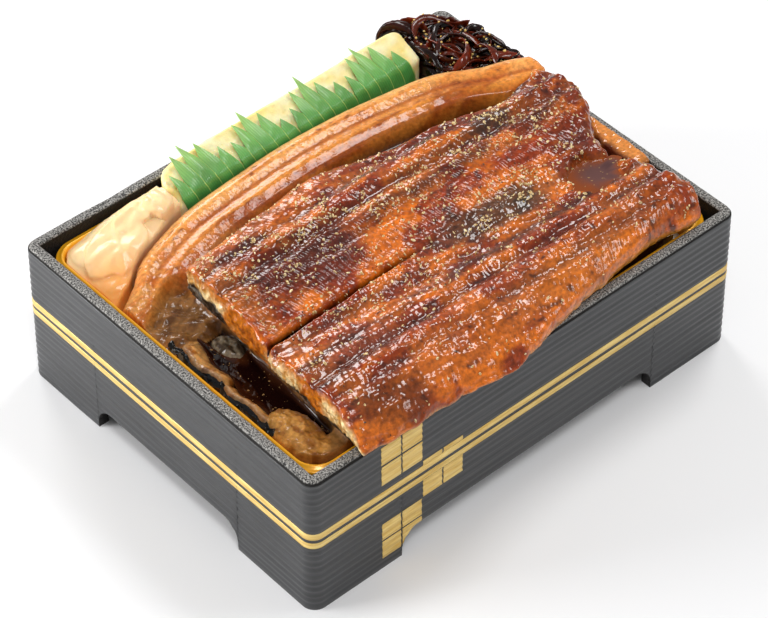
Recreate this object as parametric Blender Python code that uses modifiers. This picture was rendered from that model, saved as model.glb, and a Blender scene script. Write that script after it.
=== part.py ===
"""Eel bento box: a foam box with a plastic tray, rice, grilled eel and side dishes.

Millimetres in the values below, metres in the scene. The long side runs along X, the short side
along Y, and the object stands on Z = 0. -X and -Y are the two walls seen from the front. The values
are measured from the middle of the box. The upper fillet hangs over the front wall, so the finished
pieces are moved back a little, which puts the origin under the middle of the whole. The eel fillets are
lofts whose heights come from the same few ridges and grooves along their whole length.
"""
import math
import random

import bmesh
import bpy

MM = 0.001                      # model units per millimetre
GAP = 0.3                       # clearance between pieces that touch
CENTRE_SHIFT_Y = 2.6            # from the middle of the box to the middle of the whole

# Foam box
BOX_LENGTH = 200.0              # outside, at the rim
BOX_WIDTH = 155.1
BOX_HEIGHT = 62.4
BOX_WALL = 4.3
BOX_FLARE = 0.9                 # each wall stands this much further out at its foot
BOX_CORNER = 4.5
BOX_FLOOR_UNDER = 14.0          # raised floor, underside and top
BOX_FLOOR_TOP = 18.0
NOTCH_HALF_LONG = 60.5          # gaps between the legs
NOTCH_HALF_SHORT = 39.0
NOTCH_HEIGHT = 11.0
NOTCH_ROUND = 8.0

# Plastic tray
TRAY_RIM_Z = 57.3
TRAY_FLANGE = 3.2
TRAY_WALL = 0.8
TRAY_DRAFT = 4.4                # how much the wall leans in from rim to floor
TRAY_CORNER = 8.0

# Heights of what lies in the tray
BED_TOP = 45.7                  # rice
FOOD_BASE = BED_TOP + GAP
POOL_LEVEL = 52.3               # sauce lying on the lower fillet
POOL_CENTRE = (-77.3, -27.0)
POOL_REACH = (9.0, 32.0)
VALLEY_LEVEL = 70.4             # sauce lying in the upper fillet's far end

# Upper fillet: edges as (x, y), ends as (y, x)
UPPER_BACK_EDGE = ((-80, 19.5), (-71, 20.5), (-46, 23.8), (-13, 27.8), (-1, 26.3), (19, 19.8),
                   (39, 18.3), (59, 12.8), (66, 10.9), (84, 12.8), (96, 11.5))
UPPER_FRONT_EDGE = ((-80, -77.0), (-71, -79.7), (-54, -81.3), (-37, -81.3), (-21, -82.7), (-8, -83.6),
                    (6, -81.5), (23, -77.5), (41, -75.0), (56, -73.0), (71, -71.8), (86, -73.5),
                    (96, -70.0))
UPPER_END = ((-80, 83.0), (-70, 86.5), (-55, 86.0), (-47, 85.5), (-40, 83.5), (-32, 80.0), (-25, 80.5),
             (-18, 85.0), (-12, 88.8), (-7, 91.4), (0, 92.6), (6, 92.4), (16, 90.0))
UPPER_CURL = 2.2                # far end of the back half curls up this much
UPPER_CUT_X = -71.5             # cut end, at the back edge
UPPER_CUT_SKEW = 0.072          # and how it slants towards the front edge
UPPER_BASE_BACK = 60.2          # underside at the back edge
UPPER_BASE_TILT = 0.028         # it rises towards the box's front rim
# Dome of the top along y: (y, z)
UPPER_DOME = ((30, 73.0), (21, 74.6), (12, 77.0), (0, 77.2), (-12, 76.2), (-24, 73.8), (-34, 73.4),
              (-44, 74.4), (-56, 77.2), (-66, 76.8), (-75, 73.6), (-86, 70.5))
# Grooves along the fillet: y at the cut end, middle and far end, depth, half width
UPPER_GROOVES = (((10.0, 16.5, 8.0), 1.5, 2.2),
                 ((1.0, 3.5, -1.0), 2.0, 2.0),
                 ((-9.0, -7.5, -9.0), 1.0, 1.8),
                 ((-31.0, -40.5, -46.0), 1.1, 2.4),
                 ((-51.5, -53.0, -53.5), 2.4, 2.2),
                 ((-63.0, -65.0, -63.0), 1.2, 2.0))
SLOT_Y = ((-78, -27.2), (-40, -26.0), (0, -25.6))
SLOT_DEPTH = 5.0
SLOT_WIDTH = 1.1
SLOT_FADE = (-22.0, 6.0)        # x range over which the centre slot closes
VALLEY_CENTRE = (65.5, -35.5)   # basin that holds sauce at the far end
VALLEY_REACH = (19.0, 13.5)
VALLEY_FLOOR = 68.2

# Lower fillet: shoulder of its raised back edge as (x, y) and (x, z)
LOWER_BACK_EDGE = ((-92, 33.0), (-81, 39.5), (-74, 45.3), (-65, 49.0), (-46, 53.7), (-22, 55.4), (0, 56.1),
                   (27, 54.7), (46, 51.8), (66, 46.5), (80, 37.0), (89, 32.3), (96, 27.0))
LOWER_BACK_RISE = ((-92, 55.5), (-74, 58.5), (-46, 61.5), (-2, 64.0), (46, 65.5), (80, 68.4), (96, 71.2))
LOWER_FRONT_EDGE = ((-90, -57.5), (-88, -61.0), (-84, -65.0), (-79, -66.5), (79, -66.5), (84, -56.0),
                    (89, -38.0))
LOWER_X = (-90.0, 95.6)
LOWER_OVER_RIM_X = 90.6         # from here on the fillet lies over the tray's rim

# Open end of the lower fillet: a trough of sauce, pale flesh behind it and a curled strip
TROUGH_Z = 48.0
TROUGH_Y = (-60.0, 3.5)
FLESH_Z = 53.6
STRIP_X = -87.6
STRIP_Y = (-46.0, 9.0)
STRIP_Z = 57.2
STRIP_OUTER = 2.2               # half width of the strip's flank on the tray's side
STRIP_INNER = (9.0, 5.0)        # and on the sauce's side, at its back end and its front end
# Lumps there: centre, half lengths, foot and rise
END_LUMPS = (((-82.9, -51.5), (8.1, 14.5), 53.0, 6.2), ((-72.5, -3.0), (5.5, 8.5), 49.5, 5.2))

# Rolled egg, ginger and kelp
EGG_X = (-44.5, 70.5)
EGG_FRONT_Y = 57.6
EGG_BACK_Y = 72.8
EGG_TOP = ((-46, 66.2), (-30, 68.6), (0, 69.2), (40, 69.9), (72, 71.0))     # along its back
EGG_SLOPE = 0.32                # its top falls this much a millimetre towards the front
GINGER_X = (-90.2, -45.5)
GINGER_TOP = ((-91, 57.0), (-80, 58.9), (-68, 60.4), (-55, 62.2), (-45, 63.4))
GINGER_BACK_EDGE = ((-91, 59.0), (-88, 64.8), (-84, 66.6), (-75, 67.3), (-58, 67.6), (-45, 67.2))
SIDE_CLEAR = 1.5                # side dishes keep this far from the lower fillet's shoulder
KELP_CENTRE = (82.5, 59.0)
KELP_RADII = (14.0, 17.0)
KELP_TOP = 67.5
KELP_CORNER = 156.0             # largest x + y of the heap, which leaves the box's far corner free
KELP_STRIPS = 24
KELP_STRIP_POINTS = 7
KELP_STRIP_LENGTH = 15.6
# Loops that hang over the box's back and far rims
KELP_LOOPS = (((79.0, 66.0, 66.0), (75.0, 70.5, 68.6), (71.5, 74.6, 69.2), (67.5, 76.3, 67.6),
               (64.5, 75.6, 64.6)),
              ((88.0, 47.0, 64.0), (92.0, 44.0, 66.0), (96.5, 39.0, 66.0), (98.2, 33.0, 65.6)))

# Leaf divider
LEAF_X = (-43.5, 65.4)
LEAF_FOOT = (57.1, 49.0)        # y and z of its lower edge
LEAF_LEAN = (-0.17, 0.92, 0.35)     # way the blades point
LEAF_CLUSTERS = 4
LEAF_BLADES = (0.45, 0.80, 1.0, 0.76, 0.33)
LEAF_BLADE_LENGTH = 17.0
LEAF_SLIT = -6.0                # clusters part this far below the fold
LEAF_THICKNESS = 0.5


def smoothstep(value):
    """Ease from 0 to 1, flat at both ends."""
    value = min(max(value, 0.0), 1.0)
    return value * value * (3.0 - 2.0 * value)


def mix(start, end, share):
    return start + (end - start) * share


def within(value, low, high):
    """Ease a value towards the middle of a range, so that it never leaves it."""
    middle, half = (low + high) / 2, (high - low) / 2
    return middle + half * math.tanh((value - middle) / half)


def bump(offset, width):
    return math.exp(-((offset / width) ** 2))


def along(table, at):
    """Smooth curve through a short table of (position, value) points."""
    points = sorted(table)
    if at <= points[0][0]:
        return points[0][1]
    if at >= points[-1][0]:
        return points[-1][1]
    index = max(i for i in range(len(points) - 1) if points[i][0] <= at)
    (x0, y0), (x1, y1) = points[index], points[index + 1]

    def slope(i):
        low, high = points[max(i - 1, 0)], points[min(i + 1, len(points) - 1)]
        return (high[1] - low[1]) / (high[0] - low[0])

    span = x1 - x0
    t = (at - x0) / span
    return ((2 * t ** 3 - 3 * t ** 2 + 1) * y0 + (t ** 3 - 2 * t ** 2 + t) * span * slope(index)
            + (3 * t ** 2 - 2 * t ** 3) * y1 + (t ** 3 - t ** 2) * span * slope(index + 1))


def spaced(start, end, count):
    return [mix(start, end, i / (count - 1)) for i in range(count)]


def make_material(name, color, roughness, metallic=0.0, subsurface=0.0):
    material = bpy.data.materials.new(name)
    material.use_nodes = True
    shader = material.node_tree.nodes["Principled BSDF"]
    shader.inputs["Base Color"].default_value = (*color, 1.0)
    shader.inputs["Roughness"].default_value = roughness
    shader.inputs["Metallic"].default_value = metallic
    shader.inputs["Subsurface Weight"].default_value = subsurface
    material.diffuse_color = (*color, 1.0)
    return material


def add_object(name, bm, material, collection):
    """Turn a bmesh in millimetres into an object in metres, with its faces pointing out."""
    bmesh.ops.recalc_face_normals(bm, faces=bm.faces)
    bmesh.ops.translate(bm, vec=(0.0, CENTRE_SHIFT_Y, 0.0), verts=bm.verts)
    bmesh.ops.scale(bm, vec=(MM, MM, MM), verts=bm.verts)
    mesh = bpy.data.meshes.new(name)
    bm.to_mesh(mesh)
    bm.free()
    mesh.materials.append(material)
    obj = bpy.data.objects.new(name, mesh)
    collection.objects.link(obj)
    return obj


def add_ring(bm, points):
    return [bm.verts.new(point) for point in points]


def bridge(bm, ring_a, ring_b):
    """Quads, split in two, between two closed rings of equal length."""
    count = len(ring_a)
    for i in range(count):
        j = (i + 1) % count
        bm.faces.new((ring_a[i], ring_a[j], ring_b[j]))
        bm.faces.new((ring_a[i], ring_b[j], ring_b[i]))


def stitch(bm, row_a, row_b):
    """Triangles between two open rows that need not have the same number of points."""
    i = j = 0
    while i < len(row_a) - 1 or j < len(row_b) - 1:
        share_a = (i + 1) / (len(row_a) - 1)
        share_b = (j + 1) / (len(row_b) - 1)
        if j == len(row_b) - 1 or (i < len(row_a) - 1 and share_a <= share_b):
            bm.faces.new((row_a[i], row_a[i + 1], row_b[j]))
            i += 1
        else:
            bm.faces.new((row_a[i], row_b[j + 1], row_b[j]))
            j += 1


def rounded_rectangle(half_x, half_y, radius, z, steps=4):
    """Closed ring of points, counter-clockwise from +X."""
    ring = []
    for quarter, (side_x, side_y) in enumerate(((1, 1), (-1, 1), (-1, -1), (1, -1))):
        for step in range(steps + 1):
            angle = math.radians(90 * (quarter + step / steps))
            ring.append((side_x * (half_x - radius) + radius * math.cos(angle),
                         side_y * (half_y - radius) + radius * math.sin(angle), z))
    return ring


def lofted_shell(bm, rings):
    """Closed body through rings that start and end with a flat cap."""
    rows = [add_ring(bm, ring) for ring in rings]
    for first, second in zip(rows, rows[1:]):
        bridge(bm, first, second)
    bm.faces.new(rows[0])
    bm.faces.new(rows[-1])


def notch_cutter(name, half_width, reach, along_y, collection):
    """Prism with rounded upper corners that opens the gap between two legs."""
    below = -5.0
    outline = [(-half_width, below), (half_width, below)]
    for side in (1, -1):
        centre = side * (half_width - NOTCH_ROUND)
        for step in range(5):
            angle = math.radians(90 * step / 4)
            if side < 0:
                angle = math.radians(90) - angle
            outline.append((centre + side * NOTCH_ROUND * math.cos(angle),
                            NOTCH_HEIGHT - NOTCH_ROUND + NOTCH_ROUND * math.sin(angle)))
    bm = bmesh.new()
    rings = []
    for end in (-reach, reach):
        rings.append([(a, end, z) if along_y else (end, a, z) for a, z in outline])
    lofted_shell(bm, rings)
    cutter = add_object(name, bm, make_material("cutter", (0.8, 0.2, 0.2), 0.5), collection)
    cutter.hide_render = True
    cutter.display_type = "WIRE"
    return cutter


def make_box(parts, cutters):
    """Foam box: four walls, a raised floor and a skirt with a gap in each side."""
    half_x, half_y = BOX_LENGTH / 2, BOX_WIDTH / 2
    inner_x, inner_y = half_x - BOX_WALL, half_y - BOX_WALL
    inner_corner = 2.0
    bm = bmesh.new()
    lofted_shell(bm, (
        rounded_rectangle(inner_x, inner_y, inner_corner, BOX_FLOOR_TOP),
        rounded_rectangle(inner_x, inner_y, inner_corner, BOX_HEIGHT),
        rounded_rectangle(half_x, half_y, BOX_CORNER, BOX_HEIGHT),
        rounded_rectangle(half_x + BOX_FLARE, half_y + BOX_FLARE, BOX_CORNER, 0.0),
        rounded_rectangle(inner_x + BOX_FLARE, inner_y + BOX_FLARE, inner_corner, 0.0),
        rounded_rectangle(inner_x + BOX_FLARE, inner_y + BOX_FLARE, inner_corner, BOX_FLOOR_UNDER)))
    box = add_object("box", bm, make_material("black foam", (0.045, 0.047, 0.052), 0.45), parts)
    reach = 120.0
    for name, half_width, along_y in (("notch_long", NOTCH_HALF_LONG, True),
                                      ("notch_short", NOTCH_HALF_SHORT, False)):
        cut = box.modifiers.new(name, "BOOLEAN")
        cut.object = notch_cutter(name, half_width, reach, along_y, cutters)
        cut.operation = "DIFFERENCE"
        cut.solver = "EXACT"


def tray_half(inset, z):
    """Half length, half width and corner radius of the tray's inside at a height."""
    lean = TRAY_DRAFT * (TRAY_RIM_Z - z) / (TRAY_RIM_Z - BOX_FLOOR_TOP)
    half_x = BOX_LENGTH / 2 - BOX_WALL - 0.5 - TRAY_FLANGE - lean - inset
    half_y = BOX_WIDTH / 2 - BOX_WALL - 0.5 - TRAY_FLANGE - lean - inset
    return half_x, half_y, TRAY_CORNER - inset


def make_tray(parts):
    """Thin tray with a flange that ends in a small rolled lip."""
    floor_out = BOX_FLOOR_TOP + GAP
    floor_in = floor_out + TRAY_WALL
    rings = []

    def ring(inset, z):
        half_x, half_y, corner = tray_half(inset, z)
        rings.append(rounded_rectangle(half_x, half_y, corner, z, steps=5))

    def flange_ring(out, z):
        half_x, half_y, corner = tray_half(-out, TRAY_RIM_Z)
        rings.append(rounded_rectangle(half_x, half_y, corner, z, steps=5))

    ring(1.5, floor_in)
    ring(0.0, floor_in + 1.5)
    ring(0.0, TRAY_RIM_Z - 0.6)
    flange_ring(0.5, TRAY_RIM_Z)
    flange_ring(TRAY_FLANGE, TRAY_RIM_Z)
    flange_ring(TRAY_FLANGE, TRAY_RIM_Z - 1.6)
    flange_ring(TRAY_FLANGE - TRAY_WALL, TRAY_RIM_Z - 1.6)
    flange_ring(TRAY_FLANGE - TRAY_WALL, TRAY_RIM_Z - TRAY_WALL)
    flange_ring(TRAY_WALL + 0.3, TRAY_RIM_Z - TRAY_WALL)
    ring(-TRAY_WALL, TRAY_RIM_Z - 2.0)
    ring(-TRAY_WALL, floor_out + 1.2)
    ring(1.2, floor_out)
    bm = bmesh.new()
    lofted_shell(bm, rings)
    add_object("tray", bm, make_material("golden plastic", (0.85, 0.46, 0.04), 0.25), parts)


def make_rice(parts):
    """Rice that fills the tray under everything else: a plain bed with a softly uneven top."""
    clear = 0.35
    floor = BOX_FLOOR_TOP + 2 * GAP + TRAY_WALL
    rings = []
    for inset, z in ((clear + 1.8, floor), (clear, floor + 1.8), (clear, BED_TOP - 1.0),
                     (clear + 1.0, BED_TOP)):
        half_x, half_y, corner = tray_half(inset, z)
        rings.append(rounded_rectangle(half_x, half_y, corner, z, steps=3))
    bm = bmesh.new()
    lofted_shell(bm, rings)
    add_object("rice_bed", bm, make_material("cooked rice", (0.86, 0.84, 0.78), 0.5), parts)


def upper_base(y):
    """Underside of the upper fillet."""
    return UPPER_BASE_BACK + UPPER_BASE_TILT * (along(UPPER_BACK_EDGE, 0) - y)


def upper_end_x(y):
    return along(UPPER_END, y)


def upper_top(x, y):
    """Height of the upper fillet's top surface."""
    z = along(UPPER_DOME, y)
    share = min(max((x - UPPER_CUT_X) / 160.0, 0.0), 1.0)
    for (near, middle, far), depth, width in UPPER_GROOVES:
        groove_y = mix(near, middle, share * 2) if share < 0.5 else mix(middle, far, share * 2 - 1)
        z -= depth * bump(y - groove_y, width)
    slot = SLOT_DEPTH * (1 - smoothstep((x - SLOT_FADE[0]) / (SLOT_FADE[1] - SLOT_FADE[0])))
    z -= slot * bump(y - along(SLOT_Y, x), SLOT_WIDTH)
    reach = math.hypot((x - VALLEY_CENTRE[0]) / VALLEY_REACH[0], (y - VALLEY_CENTRE[1]) / VALLEY_REACH[1])
    z = mix(z, min(z, VALLEY_FLOOR), 1 - smoothstep((reach - 0.62) / 0.42))
    z += UPPER_CURL * smoothstep((x - 60.0) / 30.0) * smoothstep((y + 20.0) / 12.0)
    back, front = along(UPPER_BACK_EDGE, x), along(UPPER_FRONT_EDGE, x)
    for distance, reach, drop in ((back - y, 4.0, 1.8), (y - front, 8.0, 5.5),
                                  (upper_end_x(y) - x, 3.0, 1.8), (x - cut_x(y), 1.6, 0.5)):
        edge = min(max(1 - distance / reach, 0.0), 1.0)
        z -= drop * (1 - math.sqrt(max(1 - edge * edge, 0.0)))
    return z


def cut_x(y):
    return UPPER_CUT_X + UPPER_CUT_SKEW * (y - 20.0)


def upper_section(share, top_count=25, base_count=6):
    """Top row and base row of the upper fillet at a share of its length, from back to front edge."""
    top, base = [], []

    def place(side, z, offset=0.0):
        guess = mix(UPPER_CUT_X, 88.0, share)
        back, front = along(UPPER_BACK_EDGE, guess), along(UPPER_FRONT_EDGE, guess)
        y = mix(back, front, side) - offset
        x = mix(cut_x(y), upper_end_x(mix(back, front, side)), share)
        return (x, y, upper_top(x, y) if z is None else z)

    # The back side bulges a little and the front side draws in towards the underside
    for z, offset in ((64.0, -0.6), (70.0, -1.0)):
        top.append(place(0.0, z, offset))
    for i in range(top_count):
        top.append(place(mix(0.0, 0.985, i / (top_count - 1)), None))
    for z, offset in ((67.0, 0.0), (64.4, -0.8)):
        top.append(place(1.0, z, offset))
    for i in range(base_count):
        side = mix(0.975, 0.02, i / (base_count - 1))
        x, y, _ = place(side, 0.0)
        base.append((x, y, upper_base(y)))
    return top, base


def add_fillet(name, sections, material, parts):
    """Loft through sections of a top row and a base row, with a stitched cap at each end."""
    bm = bmesh.new()
    rows = [(add_ring(bm, top), add_ring(bm, base)) for top, base in sections]
    for (top_a, base_a), (top_b, base_b) in zip(rows, rows[1:]):
        bridge(bm, top_a + base_a, top_b + base_b)
    for top, base in (rows[0], rows[-1]):
        stitch(bm, top, list(reversed(base)))
    return add_object(name, bm, material, parts)


def make_upper_eel(parts):
    shares = [0.0, 0.012] + spaced(0.045, 0.955, 33) + [0.985, 1.0]
    sections = [upper_section(share) for share in shares]
    add_fillet("upper_eel", sections, make_material("glazed eel", (0.36, 0.10, 0.03), 0.22), parts)


def lower_plateau(y):
    return upper_base(y) - 0.45


def lower_top(x, y):
    """Height of the lower fillet: a covered plateau, a raised back edge and an open cut end."""
    flesh = FLESH_Z + math.sin(0.55 * x + 0.35 * y)
    trough = mix(TROUGH_Z, flesh, smoothstep((y - TROUGH_Y[1]) / 6.0))
    trough = mix(STRIP_Z, trough, smoothstep((y - TROUGH_Y[0]) / 6.0))
    under = smoothstep((x - cut_x(y) - 2.0) / 7.0)
    z = mix(trough, lower_plateau(y), under)
    # Strip curled up along the tray's wall, and the lumps of flesh
    strip = smoothstep((y - STRIP_Y[0]) / 6.0) * smoothstep((STRIP_Y[1] - y) / 5.0)
    crest_x = STRIP_X + 0.7 * math.sin(0.32 * y)
    inner = mix(*STRIP_INNER, smoothstep((STRIP_Y[1] - y) / 38.0))
    spread = inner if x > crest_x else STRIP_OUTER
    z = max(z, mix(z, STRIP_Z + 0.6 * math.sin(0.41 * y + 1.0), strip * bump(x - crest_x, spread)))
    for (lump_x, lump_y), (half_x, half_y), foot, rise in END_LUMPS:
        inside = 1 - ((x - lump_x) / half_x) ** 2 - ((y - lump_y) / half_y) ** 2
        if inside > 0:
            z = max(z, foot + rise * math.sqrt(inside))
    # Raised back edge with two ridges
    depth = along(LOWER_BACK_EDGE, x) - y
    shoulder = along(LOWER_BACK_RISE, x)
    ridges = 1.6 * bump(depth - 5.0, 3.6) + 1.2 * bump(depth - 14.0, 3.2)
    width = mix(10.0, 18.0, smoothstep((x + 82.0) / 20.0))
    band = 1 - smoothstep((depth - width) / 5.0)
    clear = smoothstep((y - along(UPPER_BACK_EDGE, x) - 2.2) / 3.5) if x > -74 else 1.0
    z = mix(z, max(z, shoulder + ridges), band * clear)
    # Lip behind the upper fillet's far end
    lip = smoothstep((x - upper_end_x(y) - 1.2) / 4.0) * smoothstep((y + 42.0) / 8.0)
    z = mix(z, max(z, 64.5), lip * smoothstep((x - 86.0) / 3.0))
    edge = min(max(1 - depth / 2.5, 0.0), 1.0)
    return z - 1.6 * (1 - math.sqrt(max(1 - edge * edge, 0.0)))


def lower_section(x):
    """Top row and base row of the lower fillet at x, from back to front edge."""
    back = along(LOWER_BACK_EDGE, x)
    base_z = TRAY_RIM_Z + 2 * GAP if x > LOWER_OVER_RIM_X else FOOD_BASE
    front = along(LOWER_FRONT_EDGE, x)
    split = back - 21.0
    ys = spaced(back, split, 13) + spaced(split, front, 19)[1:]
    top = [(x, back + 0.6, mix(base_z, lower_top(x, back), 0.5))]
    top += [(x, y, max(lower_top(x, y), base_z + 1.0)) for y in ys]
    base = [(x, y, base_z) for y in (front + 0.5, mix(front, back, 0.35), mix(front, back, 0.7), back - 0.8)]
    return top, base


def make_lower_eel(parts):
    stations = [LOWER_X[0], -89.2] + spaced(-88.4, -70.0, 14) + spaced(-65.0, 79.0, 19)
    stations += [83.0, 86.5, 89.0, LOWER_OVER_RIM_X - 0.1, 91.5, 93.5, LOWER_X[1]]
    sections = [lower_section(x) for x in stations]
    add_fillet("lower_eel", sections, make_material("pale grilled eel", (0.72, 0.38, 0.15), 0.3), parts)


def add_pool(name, centre, level, floor, stretch, facet, parts, material, skin=0.45):
    """Sauce: flat top at its level, underside just clear of the surface that it lies on."""
    spokes, rings = 26, 4
    cx, cy = centre
    bm = bmesh.new()
    outline = []

    def bed(x, y):
        """Highest point of the facets near a place, so that the sauce clears them all."""
        steps = (-1, 0, 1)
        return max(floor(x + a * facet[0], y + b * facet[1]) for a in steps for b in steps)

    for spoke in range(spokes):
        angle = math.radians(360 * spoke / spokes)
        share, step = 0.0, 0.01
        while share < 1.0:
            x = cx + (share + step) * stretch[0] * math.cos(angle)
            y = cy + (share + step) * stretch[1] * math.sin(angle)
            if bed(x, y) + GAP > level - skin:
                break
            share += step
        outline.append((math.cos(angle) * share * stretch[0], math.sin(angle) * share * stretch[1]))
    top_centre = bm.verts.new((cx, cy, level))
    low_centre = bm.verts.new((cx, cy, bed(cx, cy) + GAP))
    tops, lows = [], []
    for ring in range(1, rings + 1):
        share = ring / rings
        points = [(cx + a * share, cy + b * share) for a, b in outline]
        tops.append(add_ring(bm, [(x, y, level) for x, y in points]))
        lows.append(add_ring(bm, [(x, y, min(bed(x, y) + GAP, level - skin)) for x, y in points]))
    for i in range(spokes):
        j = (i + 1) % spokes
        bm.faces.new((top_centre, tops[0][i], tops[0][j]))
        bm.faces.new((low_centre, lows[0][j], lows[0][i]))
    for rows in (tops, lows):
        for first, second in zip(rows, rows[1:]):
            bridge(bm, first, second)
    bridge(bm, tops[-1], lows[-1])
    add_object(name, bm, material, parts)


def keep_outer_skin(mesh):
    """Fill sealed hollows and drop scraps: only the island with the most faces stays."""
    bm = bmesh.new()
    bm.from_mesh(mesh)
    islands, left = [], set(bm.faces)
    while left:
        island, front = set(), [left.pop()]
        while front:
            face = front.pop()
            island.add(face)
            for edge in face.edges:
                for other in edge.link_faces:
                    if other in left:
                        left.remove(other)
                        front.append(other)
        islands.append(island)
    largest = max(islands, key=len)
    scraps = [face for island in islands if island is not largest for face in island]
    bmesh.ops.delete(bm, geom=scraps, context="FACES")
    bm.to_mesh(mesh)
    bm.free()


def fuse(name, core, pieces):
    """Join loose pieces to their core with one union, then drop the loose ones."""
    loose = bpy.data.collections.new(name + "_pieces")
    bpy.context.scene.collection.children.link(loose)
    for piece in pieces:
        for owner in piece.users_collection:
            owner.objects.unlink(piece)
        loose.objects.link(piece)
    union = core.modifiers.new("union", "BOOLEAN")
    union.operation = "UNION"
    union.operand_type = "COLLECTION"
    union.collection = loose
    union.solver = "EXACT"
    evaluated = core.evaluated_get(bpy.context.evaluated_depsgraph_get())
    mesh = bpy.data.meshes.new_from_object(evaluated)
    mesh.name = name
    core.modifiers.clear()
    keep_outer_skin(mesh)
    core.data = mesh
    for piece in list(loose.objects):
        bpy.data.objects.remove(piece)
    bpy.data.collections.remove(loose)


def height_solid(name, xs, edges, top, base_z, material, parts, columns=9, lean=0.0):
    """Closed body between a base plane and a height field, with its sides given by two edges."""
    sections = []
    for x in xs:
        low_y, high_y = edges(x)
        ys = spaced(high_y, low_y, columns)
        top_row = [(x, y, top(x, y)) for y in ys]
        base_row = [(x, y, base_z) for y in (low_y + lean, mix(low_y, high_y, 0.5), high_y - lean)]
        sections.append((top_row, base_row))
    return add_fillet(name, sections, material, parts)


def ginger_top(x, y):
    """Softly folded mound of ginger slices."""
    z = along(GINGER_TOP, x) + 0.5 * math.sin(0.21 * x + 0.33 * y)
    return z - 1.2 * smoothstep((y - 62.0) / 5.0) - 1.6 * bump(y - along(LOWER_BACK_EDGE, x), 3.0)


def ginger_slice(name, centre, radii, turn, lift, material, parts, waves):
    """One thin slice: a wavy disc with an uneven rim that lies on the mound."""
    segments, rings, sunk = 16, 3, 1.7
    cx, cy = centre
    bm = bmesh.new()
    tops, lows = [], []

    def surface(x, y):
        return ginger_top(x, y) + lift + 0.35 * math.sin(waves * x * 0.4)

    for ring in range(1, rings + 1):
        points = []
        for i in range(segments):
            angle = 2 * math.pi * i / segments
            rim = 1 + 0.10 * math.sin(waves * angle + turn) + 0.05 * math.sin(5 * angle)
            share = rim * ring / rings
            a, b = radii[0] * share * math.cos(angle), radii[1] * share * math.sin(angle)
            x = min(max(cx + a * math.cos(turn) - b * math.sin(turn), GINGER_X[0]), GINGER_X[1])
            y = cy + a * math.sin(turn) + b * math.cos(turn)
            y = min(max(y, along(LOWER_BACK_EDGE, x) + SIDE_CLEAR), along(GINGER_BACK_EDGE, x) + 0.4)
            points.append((x, y))
        tops.append(add_ring(bm, [(x, y, surface(x, y)) for x, y in points]))
        lows.append(add_ring(bm, [(x, y, ginger_top(x, y) - sunk) for x, y in points]))
    top_centre = bm.verts.new((cx, cy, surface(cx, cy)))
    low_centre = bm.verts.new((cx, cy, ginger_top(cx, cy) - sunk))
    for i in range(segments):
        j = (i + 1) % segments
        bm.faces.new((top_centre, tops[0][i], tops[0][j]))
        bm.faces.new((low_centre, lows[0][j], lows[0][i]))
    for rows in (tops, lows):
        for first, second in zip(rows, rows[1:]):
            bridge(bm, first, second)
    bridge(bm, tops[-1], lows[-1])
    return add_object(name, bm, material, parts)


def make_ginger(parts):
    material = make_material("pickled ginger", (0.93, 0.74, 0.50), 0.3)

    def edges(x):
        return along(LOWER_BACK_EDGE, x) + SIDE_CLEAR, along(GINGER_BACK_EDGE, x)

    def core_top(x, y):
        return ginger_top(x, y) - 0.9

    core = height_solid("ginger", spaced(GINGER_X[0], GINGER_X[1], 11), edges, core_top, FOOD_BASE, material,
                        parts, columns=8, lean=0.4)
    slices = [ginger_slice("slice_%d" % i, centre, radii, turn, lift, material, parts, waves)
              for i, (centre, radii, turn, lift, waves) in enumerate((
                  ((-74.0, 54.5), (14.5, 9.5), 0.45, 0.3, 3), ((-60.0, 61.0), (11.0, 5.0), 0.1, 1.0, 4),
                  ((-52.5, 58.5), (6.0, 5.0), 0.3, 1.9, 3)))]
    fuse("ginger", core, slices)


def make_egg(parts):
    """Thick slab of rolled egg that leans back on the tray's rim."""
    bm = bmesh.new()
    rings = []
    for x, shrink in ((EGG_X[0], 5.0), (EGG_X[0] + 1.3, 2.0), (EGG_X[0] + 3.6, 0.4), (EGG_X[0] + 8.0, 0.0),
                      (-20.0, 0.1), (5.0, 0.0), (30.0, 0.2), (52.0, 0.0), (EGG_X[1] - 4.0, 0.1),
                      (EGG_X[1] - 1.0, 0.8), (EGG_X[1], 2.2)):
        top = along(EGG_TOP, x) - 0.25 * shrink
        front = top - EGG_SLOPE * (EGG_BACK_Y - EGG_FRONT_Y)
        back, wall = EGG_BACK_Y - shrink, 66.9
        rings.append([(x, y, z) for y, z in (
            (EGG_FRONT_Y + 0.1, FOOD_BASE), (min(wall, back - 0.5), FOOD_BASE),
            (min(wall + 0.7, back - 0.3), TRAY_RIM_Z - 0.5), (min(wall + 1.5, back - 0.1), TRAY_RIM_Z + 0.7),
            (back, TRAY_RIM_Z + 2.6), (back + 0.05, top - 2.2), (back - 0.5, top - 0.7), (back - 1.8, top),
            (mix(EGG_FRONT_Y, EGG_BACK_Y, 0.5), mix(front, top, 0.5) + 0.4), (EGG_FRONT_Y + 2.6, front + 0.5),
            (EGG_FRONT_Y + 0.6, front - 0.6), (EGG_FRONT_Y, front - 2.2))])
    lofted_shell(bm, rings)
    bmesh.ops.triangulate(bm, faces=bm.faces)
    add_object("rolled_egg", bm, make_material("rolled egg", (0.93, 0.76, 0.34), 0.55), parts)


def leaf_fold(x):
    """Length of the divider that stands in front of the egg."""
    return along(EGG_TOP, x) - EGG_SLOPE * (EGG_BACK_Y - LEAF_FOOT[0]) + 0.7 - LEAF_FOOT[1]


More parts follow.
